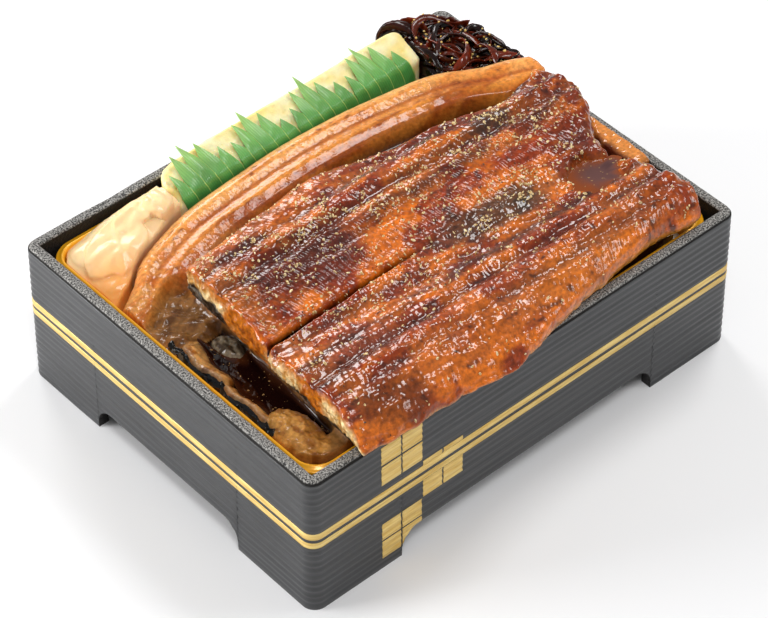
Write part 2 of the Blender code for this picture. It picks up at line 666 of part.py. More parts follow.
def leaf_point(x, run):
    """Point on the divider's sheet, a run up from its foot: it stands, then bends over the egg."""
    foot_y, foot_z = LEAF_FOOT
    wave = 0.25 * math.sin(0.9 * x)
    over = max(run - leaf_fold(x), 0.0)
    rise = run - over
    return (x + LEAF_LEAN[0] * over, foot_y + 0.2 * wave + LEAF_LEAN[1] * over,
            foot_z + rise + LEAF_LEAN[2] * over + wave * min(over / 4.0, 1.0))


def make_leaf(parts):
    """Green divider: four clusters of five pointed blades cut from one thin sheet."""
    width = (LEAF_X[1] - LEAF_X[0]) / LEAF_CLUSTERS
    blade = width / len(LEAF_BLADES)
    columns = []
    for cluster in range(LEAF_CLUSTERS):
        for index, share in enumerate(LEAF_BLADES):
            x = LEAF_X[0] + cluster * width + index * blade
            if index == 0:
                columns += [(x, LEAF_SLIT), (x + blade * 0.15, 0.0)]
            else:
                columns.append((x, 0.55 * LEAF_BLADE_LENGTH * min(share, LEAF_BLADES[index - 1])))
            columns.append((x + blade * 0.55, LEAF_BLADE_LENGTH * share))
        columns.append((LEAF_X[0] + (cluster + 1) * width - blade * 0.1, 0.0))
    columns.append((LEAF_X[1], LEAF_SLIT))
    bm = bmesh.new()
    grid = []
    for x, length in columns:
        stand = leaf_fold(x) + min(length, 0.0)
        runs = [0.0, stand * 0.5, stand] + [stand + max(length, 0.6) * share for share in (0.35, 0.7, 1.0)]
        grid.append([bm.verts.new(leaf_point(x, run)) for run in runs])
    for left, right in zip(grid, grid[1:]):
        for i in range(len(left) - 1):
            bm.faces.new((left[i], right[i], right[i + 1]))
            bm.faces.new((left[i], right[i + 1], left[i + 1]))
    obj = add_object("leaf_divider", bm, make_material("green film", (0.09, 0.36, 0.12), 0.35), parts)
    solid = obj.modifiers.new("thickness", "SOLIDIFY")
    solid.thickness = LEAF_THICKNESS * MM
    solid.offset = 0.0


def kelp_strip(name, path, radius, material, parts):
    """Closed round strip along a path."""
    curve = bpy.data.curves.new(name, "CURVE")
    curve.dimensions = "3D"
    curve.bevel_depth = radius * MM
    curve.bevel_resolution = 1
    curve.use_fill_caps = True
    spline = curve.splines.new("POLY")
    spline.points.add(len(path) - 1)
    for point, place in zip(spline.points, path):
        point.co = (*(value * MM for value in place), 1.0)
    tube = bpy.data.objects.new(name + "_curve", curve)
    parts.objects.link(tube)
    mesh = bpy.data.meshes.new_from_object(tube.evaluated_get(bpy.context.evaluated_depsgraph_get()))
    bpy.data.objects.remove(tube)
    bm = bmesh.new()
    bm.from_mesh(mesh)
    bmesh.ops.remove_doubles(bm, verts=bm.verts, dist=1e-6)
    bmesh.ops.scale(bm, vec=(1 / MM, 1 / MM, 1 / MM), verts=bm.verts)
    bpy.data.meshes.remove(mesh)
    return add_object(name, bm, material, parts)


def make_kelp(parts):
    """Heap of simmered kelp: a low core with curled strips fused on."""
    material = make_material("simmered kelp", (0.06, 0.015, 0.008), 0.3)
    cx, cy = KELP_CENTRE
    rng = random.Random(11)

    def core_height(x, y):
        reach = ((x - cx) / KELP_RADII[0]) ** 2 + ((y - cy) / KELP_RADII[1]) ** 2
        return mix(60.8, KELP_TOP - 2.5, max(0.0, 1 - reach))

    def edges(x):
        return along(LOWER_BACK_EDGE, x) + SIDE_CLEAR, 66.0 - 4.0 * smoothstep((x - 83.0) / 6.0)

    core = height_solid("simmered_kelp", spaced(EGG_X[1] + 0.8, 89.4, 6), edges, core_height, FOOD_BASE,
                        material, parts, columns=7, lean=0.4)
    strips = [kelp_strip("loop_%d" % i, loop, 1.4, material, parts) for i, loop in enumerate(KELP_LOOPS)]
    for index in range(KELP_STRIPS):
        heading = rng.uniform(0, math.pi)
        start = (cx + rng.uniform(-8.0, 12.0), cy + rng.uniform(-24.0, 12.0))
        bend = rng.uniform(-0.5, 0.5)
        path = []
        for i in range(KELP_STRIP_POINTS):
            share = i / (KELP_STRIP_POINTS - 1)
            step = (share - 0.5) * KELP_STRIP_LENGTH
            angle = heading + bend * step * 0.25
            x = within(start[0] + step * math.cos(angle), EGG_X[1] + 2.6, 97.0)
            y = within(start[1] + step * math.sin(angle), along(LOWER_BACK_EDGE, x) + 4.0,
                       min(77.5, KELP_CORNER - x))
            rim = x > 92.0 or y > 69.5
            lift = 1.2 + 2.2 * math.sin(math.pi * share) * rng.uniform(0.3, 1.0)
            z = max(core_height(x, y), BOX_HEIGHT + 1.6 if rim else 0.0) + lift
            path.append((x, y, min(z, 66.3 + 0.58 * (KELP_CORNER - x - y))))
        strips.append(kelp_strip("strip_%d" % index, path, rng.uniform(1.1, 1.5), material, parts))
    fuse("simmered_kelp", core, strips)


def main():
    for obj in list(bpy.data.objects):
        bpy.data.objects.remove(obj)
    parts = bpy.data.collections.new("eel_bento_box")
    cutters = bpy.data.collections.new("cutters")
    for collection in (parts, cutters):
        bpy.context.scene.collection.children.link(collection)
    make_box(parts, cutters)
    make_tray(parts)
    make_rice(parts)
    make_lower_eel(parts)
    make_upper_eel(parts)
    sauce = make_material("eel sauce", (0.06, 0.012, 0.006), 0.08)
    add_pool("sauce_pool", POOL_CENTRE, POOL_LEVEL, lower_top, POOL_REACH, (1.2, 3.0), parts, sauce)
    add_pool("valley_sauce", VALLEY_CENTRE, VALLEY_LEVEL, upper_top, VALLEY_REACH, (2.4, 1.5), parts, sauce)
    make_ginger(parts)
    make_egg(parts)
    make_leaf(parts)
    make_kelp(parts)


main()
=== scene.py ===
"""Eel bento box: the looks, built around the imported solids.

Values are millimetres measured from the middle of the box, as in the solids' source, and every
piece is moved back by CENTRE_SHIFT_Y and turned to metres when its mesh is made.
"""
import math
import random

import bmesh
import bpy
import numpy as np
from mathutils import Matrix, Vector


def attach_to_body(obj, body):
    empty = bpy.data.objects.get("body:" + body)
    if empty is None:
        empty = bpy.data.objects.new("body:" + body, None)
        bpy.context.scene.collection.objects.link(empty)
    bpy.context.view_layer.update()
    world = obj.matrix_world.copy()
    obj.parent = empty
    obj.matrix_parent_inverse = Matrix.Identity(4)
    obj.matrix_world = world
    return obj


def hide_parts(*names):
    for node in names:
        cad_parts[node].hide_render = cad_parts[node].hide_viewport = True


MM = 0.001
CENTRE_SHIFT_Y = 2.6
GAP = 0.3

# Camera, solved from the box's rim and feet in the photograph, for an image of 768 x 618
IMAGE_WIDTH = 768
FOCAL_PX = 3039.7
CAMERA_ELEVATION = 44.37
CAMERA_AZIMUTH = -41.70
CAMERA_DISTANCE = 1133.7
CAMERA_AIM = (15.52, 16.21, 0.0)

# Foam box
BOX_LENGTH, BOX_WIDTH, BOX_HEIGHT = 200.0, 155.1, 62.4
BOX_WALL = 4.3
BOX_FLARE = 0.9
BOX_CORNER = 4.5
BOX_FLOOR_UNDER, BOX_FLOOR_TOP = 14.0, 18.0
NOTCH_HALF_LONG, NOTCH_HALF_SHORT = 60.5, 39.0
NOTCH_HEIGHT, NOTCH_ROUND = 11.0, 8.0
FILM_TOP = 1.3                  # the printed film ends this far under the rim
GRAIN_PITCH = 3.0               # ridges of the film's wood grain
GRAIN_DEPTH = 0.17
FILM_ROWS = 150
WALL_STEP = 2.6                 # between points along the walls
PRINT_LIFT, PRINT_SUNK = 0.10, -0.05    # outer and inner face of the ink, from the ridges
# Gold stripes round the box: lowest and highest z
STRIPES = ((31.0, 33.6), (35.0, 37.7))
# Panes of the ornament's squares on the front long wall: x from, x to, z from, z to
ORNAMENT = ((-69.3, -60.6, 50.7, 59.2), (-59.9, -51.1, 50.7, 59.2),
            (-69.3, -60.6, 41.0, 50.1), (-59.9, -51.1, 41.0, 50.1),
            (-50.7, -42.0, 37.9, 40.1), (-41.3, -32.5, 37.9, 40.1),
            (-50.7, -42.0, 22.7, 30.8), (-41.3, -32.5, 22.7, 30.8),
            (-69.4, -60.9, 14.0, 22.2), (-60.2, -51.4, 14.0, 22.2),
            (-69.4, -60.9, 5.0, 13.3), (-60.2, -51.4, 5.0, 13.3),
            (-50.8, -42.2, 59.8, 61.0), (-41.0, -32.5, 59.8, 61.0))

# Section of the cut foam rim: in from the outer face, and down from the top
RIM_SECTION = ((0.50, 0.75), (0.68, 0.3), (1.0, 0.08), (1.5, 0.0), (2.1, 0.0), (2.7, 0.0), (3.3, 0.0),
               (3.8, 0.1), (4.15, 0.35), (4.3, 0.8))
RIM_LUMP = 1.4                  # size of the lumps on the cut foam
RIM_DENT_X = -62.0              # middle of the dent in the rim's back left part

# Tray
TRAY_RIM_Z = 57.3
TRAY_FLANGE = 3.2
TRAY_WALL = 0.8
TRAY_DRAFT = 4.4
TRAY_CORNER = 8.0
TRAY_MARGIN = 0.5               # between the flange and the foam wall
# Section of the flange and its rolled lip: out from the rim's inner edge, and up from the rim
FLANGE_SECTION = ((0.12, 0.5), (0.4, 1.0), (0.8, 1.2), (1.3, 0.9), (1.9, 0.2), (2.6, 0.0), (3.0, -0.1),
                  (TRAY_FLANGE, -0.45), (TRAY_FLANGE, -1.4), (TRAY_FLANGE - 0.2, -1.6),
                  (TRAY_FLANGE - TRAY_WALL, -1.5), (TRAY_FLANGE - TRAY_WALL, -TRAY_WALL),
                  (TRAY_WALL + 0.3, -TRAY_WALL))

# Heights of what lies in the tray
BED_TOP = 45.7
FOOD_BASE = BED_TOP + GAP
POOL_LEVEL = 52.3
POOL_CENTRE, POOL_REACH = (-77.3, -27.0), (11.0, 34.0)
VALLEY_LEVEL = 69.9
POOL_SPOKES, POOL_RINGS = 160, 20
POOL_BODY = 0.7                 # thickness of the sauce that is modelled
POOL_MIDDLE = 20.0              # a pool's middle counts as this far from its shore

# Upper fillet: its edges, dome and grooves as in the solids
UPPER_BACK_EDGE = ((-80, 19.5), (-71, 20.5), (-46, 23.8), (-13, 27.8), (-1, 26.3), (19, 19.8),
                   (39, 18.3), (59, 12.8), (66, 10.9), (84, 12.8), (96, 11.5))
UPPER_FRONT_EDGE = ((-80, -77.0), (-71, -79.7), (-54, -81.3), (-37, -81.3), (-21, -82.7), (-8, -83.6),
                    (6, -81.5), (23, -77.5), (41, -75.0), (56, -73.0), (71, -71.8), (86, -73.5),
                    (96, -70.0))
UPPER_END = ((-80, 83.0), (-70, 86.5), (-55, 86.0), (-47, 85.5), (-40, 83.5), (-32, 80.0), (-25, 80.5),
             (-18, 85.0), (-12, 88.8), (-7, 91.4), (0, 92.6), (6, 92.4), (16, 90.0))
UPPER_CURL = 2.2
UPPER_GRID = (344, 200)         # points along and across its top
UPPER_CUT_X, UPPER_CUT_Y, UPPER_CUT_SKEW = -71.5, 20.0, 0.072
UPPER_BASE_BACK, UPPER_BASE_Y, UPPER_BASE_TILT = 60.2, 26.2, 0.028
UPPER_LENGTH = 160.0
# Rounding of its back, front, far and cut edges: how far in it starts, and how far down it goes
UPPER_ROUNDING = ((4.0, 1.8), (8.0, 5.5), (3.0, 1.8), (1.6, 0.5))
UPPER_DOME = ((30, 73.0), (21, 74.6), (12, 77.0), (0, 77.2), (-12, 76.2), (-24, 73.8), (-34, 73.4),
              (-44, 74.4), (-56, 77.2), (-66, 76.8), (-75, 73.6), (-86, 70.5))
UPPER_GROOVES = (((10.0, 16.5, 8.0), 1.5, 2.2),
                 ((1.0, 3.5, -1.0), 2.0, 2.0),
                 ((-9.0, -7.5, -9.0), 1.0, 1.8),
                 ((-31.0, -40.5, -46.0), 1.1, 2.4),
                 ((-51.5, -53.0, -53.5), 2.4, 2.2),
                 ((-63.0, -65.0, -63.0), 1.2, 2.0))
SLOT_Y = ((-78, -27.2), (-40, -26.0), (0, -25.6))
SLOT_DEPTH, SLOT_WIDTH = 5.0, 0.8
SLOT_FADE = (-22.0, 6.0)
# Basin at the far end, a little smaller and elsewhere than in the solids, to match the photograph
VALLEY_CENTRE = (69.5, -36.5)
VALLEY_REACH, VALLEY_POOL_REACH = (14.0, 10.5), (17.0, 13.0)
VALLEY_FLOOR = 68.2

# Where the glaze is darker or brighter: place, reach, colour, strength
UPPER_REGIONS = (((-42.0, -6.0), (26.0, 13.0), "#611d0a", 0.9), ((-62.0, -14.0), (12.0, 7.0), "#7c2a0e", 0.7),
                 ((-69.0, 2.0), (5.0, 26.0), "#c46a24", 0.7), ((-69.0, -50.0), (5.0, 26.0), "#c86e22", 0.6),
                 ((30.0, -30.0), (28.0, 9.0), "#50321e", 0.9), ((28.0, -70.0), (34.0, 9.0), "#de7c22", 0.6),
                 ((-20.0, -72.0), (40.0, 8.0), "#b85e1c", 0.6), ((72.0, -4.0), (12.0, 9.0), "#9c4416", 0.6),
                 # The second region on this line, at (-60, -74), is painted shade on the fillet's front slope
                 ((62.0, -62.0), (16.0, 12.0), "#b65a18", 0.6), ((-60.0, -74.0), (16.0, 8.0), "#74340a", 0.8),
                 # The first region on this line, at (-52, -46), is a painted pinkish sheen on wet glaze
                 ((-52.0, -46.0), (20.0, 8.0), "#a8583a", 0.5), ((-30.0, -58.0), (26.0, 6.0), "#9c3c10", 0.6))
# Charred bands along the fillet: place across it, half width, strength
UPPER_BANDS = ((20.5, 2.4, 0.54), (12.0, 2.88, 0.8775), (5.0, 1.92, 0.54), (-4.0, 2.64, 0.81),
               (-33.0, 1.92, 0.54), (-44.0, 2.64, 0.8775), (-55.0, 3.12, 0.81), (-66.0, 1.92, 0.405))

# Lower fillet, as in the solids
LOWER_BACK_EDGE = ((-92, 33.0), (-81, 39.5), (-74, 45.3), (-65, 49.0), (-46, 53.7), (-22, 55.4), (0, 56.1),
                   (27, 54.7), (46, 51.8), (66, 46.5), (80, 37.0), (89, 32.3), (96, 27.0))
LOWER_BACK_RISE = ((-92, 55.5), (-74, 58.5), (-46, 61.5), (-2, 64.0), (46, 65.5), (80, 68.4), (96, 71.2))
LOWER_FRONT_EDGE = ((-90, -57.5), (-88, -61.0), (-84, -65.0), (-79, -66.5), (79, -66.5), (84, -56.0),
                    (89, -38.0))
LOWER_X = (-90.0, 95.6)
LOWER_OVER_RIM_X = 90.6
TROUGH_Z = 48.0
TROUGH_Y = (-60.0, 3.5)
FLESH_Z = 53.6
STRIP_X, STRIP_Y, STRIP_Z = -87.6, (-46.0, 9.0), 57.2
STRIP_OUTER, STRIP_INNER = 2.2, (9.0, 5.0)
STRIP_SPLIT_Y = -18.0           # the strip is torn in two here
END_LUMPS = (((-82.9, -51.5), (8.1, 14.5), 53.0, 6.2), ((-72.5, -3.0), (5.5, 8.5), 49.5, 5.2))

# Side dishes
EGG_X = (-44.5, 70.5)
EGG_BACK_Y = 72.8
EGG_TOP = ((-46, 66.2), (-30, 68.6), (0, 69.2), (40, 69.9), (72, 71.0))
EGG_SLOPE = 0.32
# Soft slices of ginger: centre, half length and half width, turn, height of its edge
GINGER_SLICES = (((-76.0, 50.0), (15.0, 10.5), 0.60, 1.0), ((-62.0, 56.0), (15.0, 8.0), 0.35, 1.5),
                 ((-83.0, 60.0), (6.5, 5.0), 0.9, 1.7), ((-74.0, 62.5), (8.5, 4.2), 0.15, 2.0),
                 ((-58.0, 61.5), (11.0, 4.6), 0.05, 2.1), ((-52.0, 56.0), (8.0, 5.0), 0.45, 2.5),
                 ((-68.5, 47.5), (7.0, 4.0), 0.7, 1.7))
KELP_CENTRE, KELP_RADII, KELP_TOP = (82.5, 59.0), (14.0, 17.0), 67.5
KELP_CORNER = 156.0             # largest x + y of the heap, where it bulges over the box's corner
KELP_FAR = (97.0, 77.0)         # its largest x and y
KELP_STRIPS, KELP_STEPS = 96, 28    # strips that wander, and points along each strip
# Strips that can be told apart: points along each, half width, half thickness, share of red
KELP_LOOPS = (
    (((78.0, 67.0, 66.8), (76.0, 70.0, 69.0), (73.2, 73.2, 70.0), (69.6, 75.8, 69.4), (66.4, 76.4, 67.2),
      (64.6, 76.0, 64.4)), 2.0, 0.7, 0.2),
    (((82.0, 66.0, 67.0), (80.0, 71.0, 69.6), (77.0, 75.0, 69.0), (73.4, 77.2, 66.6), (71.0, 77.4, 64.2)),
     1.7, 0.6, 0.9),
    (((88.0, 47.0, 64.6), (92.0, 43.6, 66.4), (95.6, 39.6, 66.4), (97.6, 34.6, 65.2), (98.0, 30.6, 63.8)),
     1.8, 0.6, 0.1),
    (((74.0, 64.0, 67.6), (78.0, 68.6, 70.0), (84.0, 69.5, 70.4), (88.4, 65.8, 69.0), (91.0, 61.0, 67.2)),
     1.6, 0.6, 0.7),
    (((90.0, 56.0, 66.0), (94.6, 57.6, 67.2), (98.2, 56.6, 66.0), (99.8, 53.0, 64.0)), 1.9, 0.6, 0.5),
    (((86.0, 40.0, 66.0), (91.0, 37.6, 67.8), (95.0, 33.6, 67.6), (96.6, 29.2, 66.4)), 1.6, 0.55, 0.95),
    (((74.6, 44.0, 65.4), (79.6, 43.0, 68.2), (84.0, 45.6, 69.0), (86.6, 50.6, 68.6), (85.0, 55.6, 67.6)),
     2.0, 0.6, 0.85),
    (((73.6, 52.0, 66.2), (77.6, 55.4, 69.4), (82.6, 56.4, 70.4), (87.6, 54.0, 69.0), (90.6, 49.6, 66.6)),
     1.8, 0.6, 0.15),
    (((86.6, 33.6, 68.4), (89.4, 37.4, 70.2), (90.0, 42.4, 70.0), (87.6, 46.6, 68.0)), 1.5, 0.55, 0.6))
LEAF_X = (-43.5, 65.4)
LEAF_FOOT = (57.1, 49.0)
LEAF_LEAN = (-0.17, 0.92, 0.35)
LEAF_CLUSTERS = 4
# Length of each blade past the fold, as shares of the longest; the first cluster's are longer
LEAF_BLADES = ((0.62, 0.95, 1.1, 0.95, 0.56), (0.5, 0.85, 1.07, 0.76, 0.4), (0.48, 0.84, 1.05, 0.76, 0.5),
               (0.48, 0.84, 1.05, 0.8, 0.42))
LEAF_NOTCHES = (0.45, 0.6, 0.6, 0.5)    # share of the shorter neighbour's length where two blades part
LEAF_BLADE_LENGTH = 17.0
LEAF_SLIT = -6.0
LEAF_THICKNESS = 0.35

# Light: the world's strength, and soft lights with direction, distance and size in metres, power in watts
WORLD_STRENGTH = 0.33
SOFTBOXES = {"overhead_softbox": ((0.475, 0.12, 0.87), 1.3, 0.34, 5.0),
             "back_softbox": ((0.30, 0.85, 0.45), 1.3, 0.40, 5.0),
             "left_softbox": ((-0.8, 0.55, 0.22), 1.3, 0.6, 17.0),
             "front_fill": ((0.64, -0.61, 0.50), 1.4, 0.32, 2.6),
             "top_softbox": ((-0.3, -0.5, 1.0), 1.5, 0.40, 7.0)}
SOFTBOX_AIM_Z = 0.05            # metres; the lights look at the food, not at the floor
FLOOR_HALF = 4.0                # metres


def linear(code):
    """Linear red, green and blue of an sRGB hex colour."""
    values = [int(code[i:i + 2], 16) / 255 for i in (1, 3, 5)]
    return np.array([v / 12.92 if v <= 0.04045 else ((v + 0.055) / 1.055) ** 2.4 for v in values])


def mix(start, end, share):
    """Value between two values by a share."""
    return start + (end - start) * share


def blend(start, end, mask):
    """Two colours mixed by a mask with one value a point; each is a hex colour or an array of colours."""
    start, end = (linear(colour) if isinstance(colour, str) else colour for colour in (start, end))
    return start + (end - start) * np.clip(mask, 0.0, 1.0)[..., None]


def smooth(value, low=0.0, high=1.0):
    """Ease from 0 to 1 between two values."""
    value = np.clip((value - low) / (high - low), 0.0, 1.0)
    return value * value * (3.0 - 2.0 * value)


def bump(offset, width):
    """Soft hump, 1 in its middle, over an offset from it."""
    return np.exp(-((offset / width) ** 2))


def along(table, at):
    """Smooth curve through a short table of (position, value) points."""
    xs, ys = np.array(sorted(table), float).T
    slopes = np.empty(len(xs))
    slopes[1:-1] = (ys[2:] - ys[:-2]) / (xs[2:] - xs[:-2])
    slopes[0] = (ys[1] - ys[0]) / (xs[1] - xs[0])
    slopes[-1] = (ys[-1] - ys[-2]) / (xs[-1] - xs[-2])
    at = np.clip(at, xs[0], xs[-1])
    i = np.clip(np.searchsorted(xs, at, side="right") - 1, 0, len(xs) - 2)
    span = xs[i + 1] - xs[i]
    t = (at - xs[i]) / span
    return ((2 * t ** 3 - 3 * t ** 2 + 1) * ys[i] + (t ** 3 - 2 * t ** 2 + t) * span * slopes[i]
            + (3 * t ** 2 - 2 * t ** 3) * ys[i + 1] + (t ** 3 - t ** 2) * span * slopes[i + 1])


def lattice_noise(x, y, z, seed):
    """Smooth noise from -1 to 1 with one lattice cell per unit."""
    x, y, z = np.broadcast_arrays(np.asarray(x, float), y, z)
    cells = [np.floor(v).astype(np.int64) for v in (x, y, z)]
    eased = []
    for v, cell in zip((x, y, z), cells):
        t = v - cell
        eased.append(t * t * t * (t * (t * 6 - 15) + 10))

    def corner(dx, dy, dz):
        """Value at a lattice corner, scrambled from its whole numbers and the seed."""
        h = (cells[0] + dx) * 374761393 + (cells[1] + dy) * 668265263 + (cells[2] + dz) * 1274126177
        h = (h + seed * 974634777) & 0x7fffffff
        h = ((h ^ (h >> 13)) * 1103515245) & 0x7fffffff
        return ((h ^ (h >> 16)) & 0xffff) / 32767.5 - 1.0

    planes = []
    for dz in (0, 1):
        rows = [mix(corner(0, dy, dz), corner(1, dy, dz), eased[0]) for dy in (0, 1)]
        planes.append(mix(rows[0], rows[1], eased[1]))
    return mix(planes[0], planes[1], eased[2])


def rough_noise(x, y, size, z=0.0, octaves=3, seed=1):
    """Layered noise whose largest lumps measure size millimetres; size may be one value for each axis."""
    size_x, size_y = size if isinstance(size, tuple) else (size, size)
    total, weight, reach = 0.0, 1.0, 0.0
    for octave in range(octaves):
        scale = 2.0 ** octave
        total = total + weight * lattice_noise(x / size_x * scale, y / size_y * scale,
                                               np.asarray(z) / size_y * scale + 7.3 * octave, seed + octave)
        reach += weight
        weight *= 0.5
    return total / reach


def add_node(tree, kind, inputs=None, **settings):
    """Add a node, set its properties, and set or link its inputs."""
    node = tree.nodes.new(kind)
    for key, value in settings.items():
        setattr(node, key, value)
    for key, value in (inputs or {}).items():
        if isinstance(value, bpy.types.NodeSocket):
            tree.links.new(value, node.inputs[key])
        else:
            node.inputs[key].default_value = value
    return node


def cells_for(size_mm):
    """Texture scale on object coordinates that makes features of this size."""
    return 1.0 / (size_mm * MM)


def new_material(name, **sockets):
    """Material with its shader's own sockets set; returns it with its tree, shader and coordinates."""
    material = bpy.data.materials.new(name)
    material.use_nodes = True
    tree = material.node_tree
    shader = tree.nodes["Principled BSDF"]
    for key, value in sockets.items():
        shader.inputs[key.replace("_", " ")].default_value = value
    place = add_node(tree, "ShaderNodeTexCoord").outputs["Object"]
    return material, tree, shader, place


def shade(code):
    """Opaque linear colour of an sRGB hex colour."""
    return (*[float(v) for v in linear(code)], 1.0)


def add_object(name, data):
    """New object at the origin, linked to the scene."""
    obj = bpy.data.objects.new(name, data)
    bpy.context.scene.collection.objects.link(obj)
    return obj


def finish_mesh(name, verts, faces, material):
    """Mesh object at the origin from points in millimetres, with its faces pointing out."""
    verts = np.asarray(verts, float).reshape(-1, 3).copy()
    verts[:, 1] += CENTRE_SHIFT_Y
    mesh = bpy.data.meshes.new(name)
    mesh.from_pydata((verts * MM).tolist(), [], faces)
    bm = bmesh.new()
    bm.from_mesh(mesh)
    bmesh.ops.recalc_face_normals(bm, faces=bm.faces)
    bm.to_mesh(mesh)
    bm.free()
    mesh.shade_smooth()
    mesh.materials.append(material)
    return add_object(name, mesh)


def store(obj, name, values):
    """Keep one value or one colour a point on the mesh, for its material."""
    values = np.asarray(values, float)
    if values.ndim == 1:
        layer = obj.data.attributes.new(name, "FLOAT", "POINT")
        layer.data.foreach_set("value", values.astype(np.float32))
    else:
        layer = obj.data.attributes.new(name, "FLOAT_COLOR", "POINT")
        layer.data.foreach_set("color", np.c_[values, np.ones(len(values))].astype(np.float32).ravel())


def quads_of(index):
    """Quads between the neighbours in a grid of point numbers."""
    quads = np.stack([index[:-1, :-1], index[1:, :-1], index[1:, 1:], index[:-1, 1:]], -1)
    return quads.reshape(-1, 4).tolist()


def grid_faces(rows, columns, wrap=False, start=0):
    """Quads of a grid of points; wrap joins the last column to the first."""
    index = start + np.arange(rows * columns).reshape(rows, columns)
    return quads_of(np.c_[index, index[:, :1]] if wrap else index)


def attach(piece, node=None):
    """Every piece rides on the one body; some stand for a solid."""
    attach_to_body(piece, "root")
    if node:
        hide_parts(node)
    return piece


def edge_loop(rows, columns):
    """Order of the points round a grid."""
    index = np.arange(rows * columns).reshape(rows, columns)
    return np.concatenate([index[0, :], index[1:, -1], index[-1, -2::-1], index[-2:0:-1, 0]])


def slab(name, top, base_z, material, side_rows, bulge, undercut, side_relief=None):
    """Closed body from a grid of top points, with rounded sides down to its underside.

    Returns the object, all its points, how far down the side each one lies as a share, and a mask of the side
    under the first row.
    """
    rows, columns = top.shape[:2]
    loop = edge_loop(rows, columns)
    points = top.reshape(-1, 3)
    edge = points[loop]
    tangent = np.roll(edge, -2, 0)[:, :2] - np.roll(edge, 2, 0)[:, :2]
    normal = np.c_[tangent[:, 1], -tangent[:, 0]]
    normal /= np.linalg.norm(normal, axis=1)[:, None] + 1e-9
    area = np.sum(edge[:, 0] * np.roll(edge[:, 1], -1) - np.roll(edge[:, 0], -1) * edge[:, 1])
    normal *= np.sign(area)
    first_side = np.zeros(len(loop))
    first_side[:columns] = 1.0
    layers, down, on_face = [points], [np.zeros(len(points))], [np.zeros(len(points))]
    low_z = base_z(edge[:, 0], edge[:, 1])
    for row in range(1, side_rows + 1):
        share = row / side_rows
        out = bulge * math.sin(math.pi * share) - undercut * share ** 2
        layer = edge.copy()
        layer[:, 2] = mix(edge[:, 2], low_z, share)
        if side_relief is not None and row < side_rows:
            out = out + side_relief(layer)
        layer[:, :2] += normal * np.broadcast_to(out, len(loop))[:, None]
        layers.append(layer)
        down.append(np.full(len(loop), share))
        on_face.append(first_side)
    on_face[0][loop] = first_side
    faces = grid_faces(rows, columns)
    start = len(points)
    faces += [[int(a), int(b), start + j, start + i] for i, (a, b, j) in enumerate(
        zip(loop, np.roll(loop, -1), np.roll(np.arange(len(loop)), -1)))]
    faces += grid_faces(side_rows, len(loop), wrap=True, start=start)
    last = start + (side_rows - 1) * len(loop)
    faces.append([last + i for i in range(len(loop))])
    everything = np.concatenate(layers)
    obj = finish_mesh(name, everything, faces, material)
    return obj, everything, np.concatenate(down), np.concatenate(on_face)


def food_material(name, roughness, coat, subsurface, grain_mm, grain_depth, fine_mm, fine_depth, mottle):
    """Cooked, wet food: the painted tint with a fine mottle, gloss from the wet mask, relief in two sizes."""
    material, tree, shader, place = new_material(name, Coat_Weight=coat, Coat_Roughness=0.05, Coat_IOR=1.5,
                                                 Specular_IOR_Level=0.12, Subsurface_Weight=subsurface,
                                                 Subsurface_Scale=2.0 * MM)
    shader.inputs["Subsurface Radius"].default_value = (1.0, 0.45, 0.2)
    tint = add_node(tree, "ShaderNodeAttribute", attribute_name="tint").outputs["Color"]
    wet = add_node(tree, "ShaderNodeAttribute", attribute_name="wet").outputs["Fac"]
    grain = add_node(tree, "ShaderNodeTexNoise", {
        "Vector": place, "Scale": cells_for(grain_mm), "Detail": 2.0, "Roughness": 0.5}).outputs["Fac"]
    fine = add_node(tree, "ShaderNodeTexNoise", {
        "Vector": place, "Scale": cells_for(fine_mm), "Detail": 3.0, "Roughness": 0.55}).outputs["Fac"]
    level = add_node(tree, "ShaderNodeMapRange", {
        "Value": grain, "From Min": 0.3, "From Max": 0.7, "To Min": 1.0 - mottle * 2,
        "To Max": 1.0 + mottle}).outputs[0]
    colour = add_node(tree, "ShaderNodeVectorMath", {0: tint, "Scale": level}, operation="SCALE").outputs[0]
    tree.links.new(colour, shader.inputs["Base Color"])
    # Wet places are glossier, and sauce fills their fine relief
    gloss = add_node(tree, "ShaderNodeMapRange", {"Value": wet, "To Min": roughness,
                                                  "To Max": roughness * 0.35}).outputs[0]
    tree.links.new(gloss, shader.inputs["Roughness"])
    calm = add_node(tree, "ShaderNodeMapRange", {"Value": wet, "To Min": 1.0, "To Max": 0.12}).outputs[0]
    coarse = add_node(tree, "ShaderNodeBump", {
        "Height": grain, "Distance": grain_depth * MM, "Strength": calm})
    small = add_node(tree, "ShaderNodeBump", {
        "Height": fine, "Distance": fine_depth * MM, "Strength": calm, "Normal": coarse.outputs[0]})
    tree.links.new(small.outputs[0], shader.inputs["Normal"])
    tree.links.new(coarse.outputs[0], shader.inputs["Coat Normal"])
    return material


# Foam box

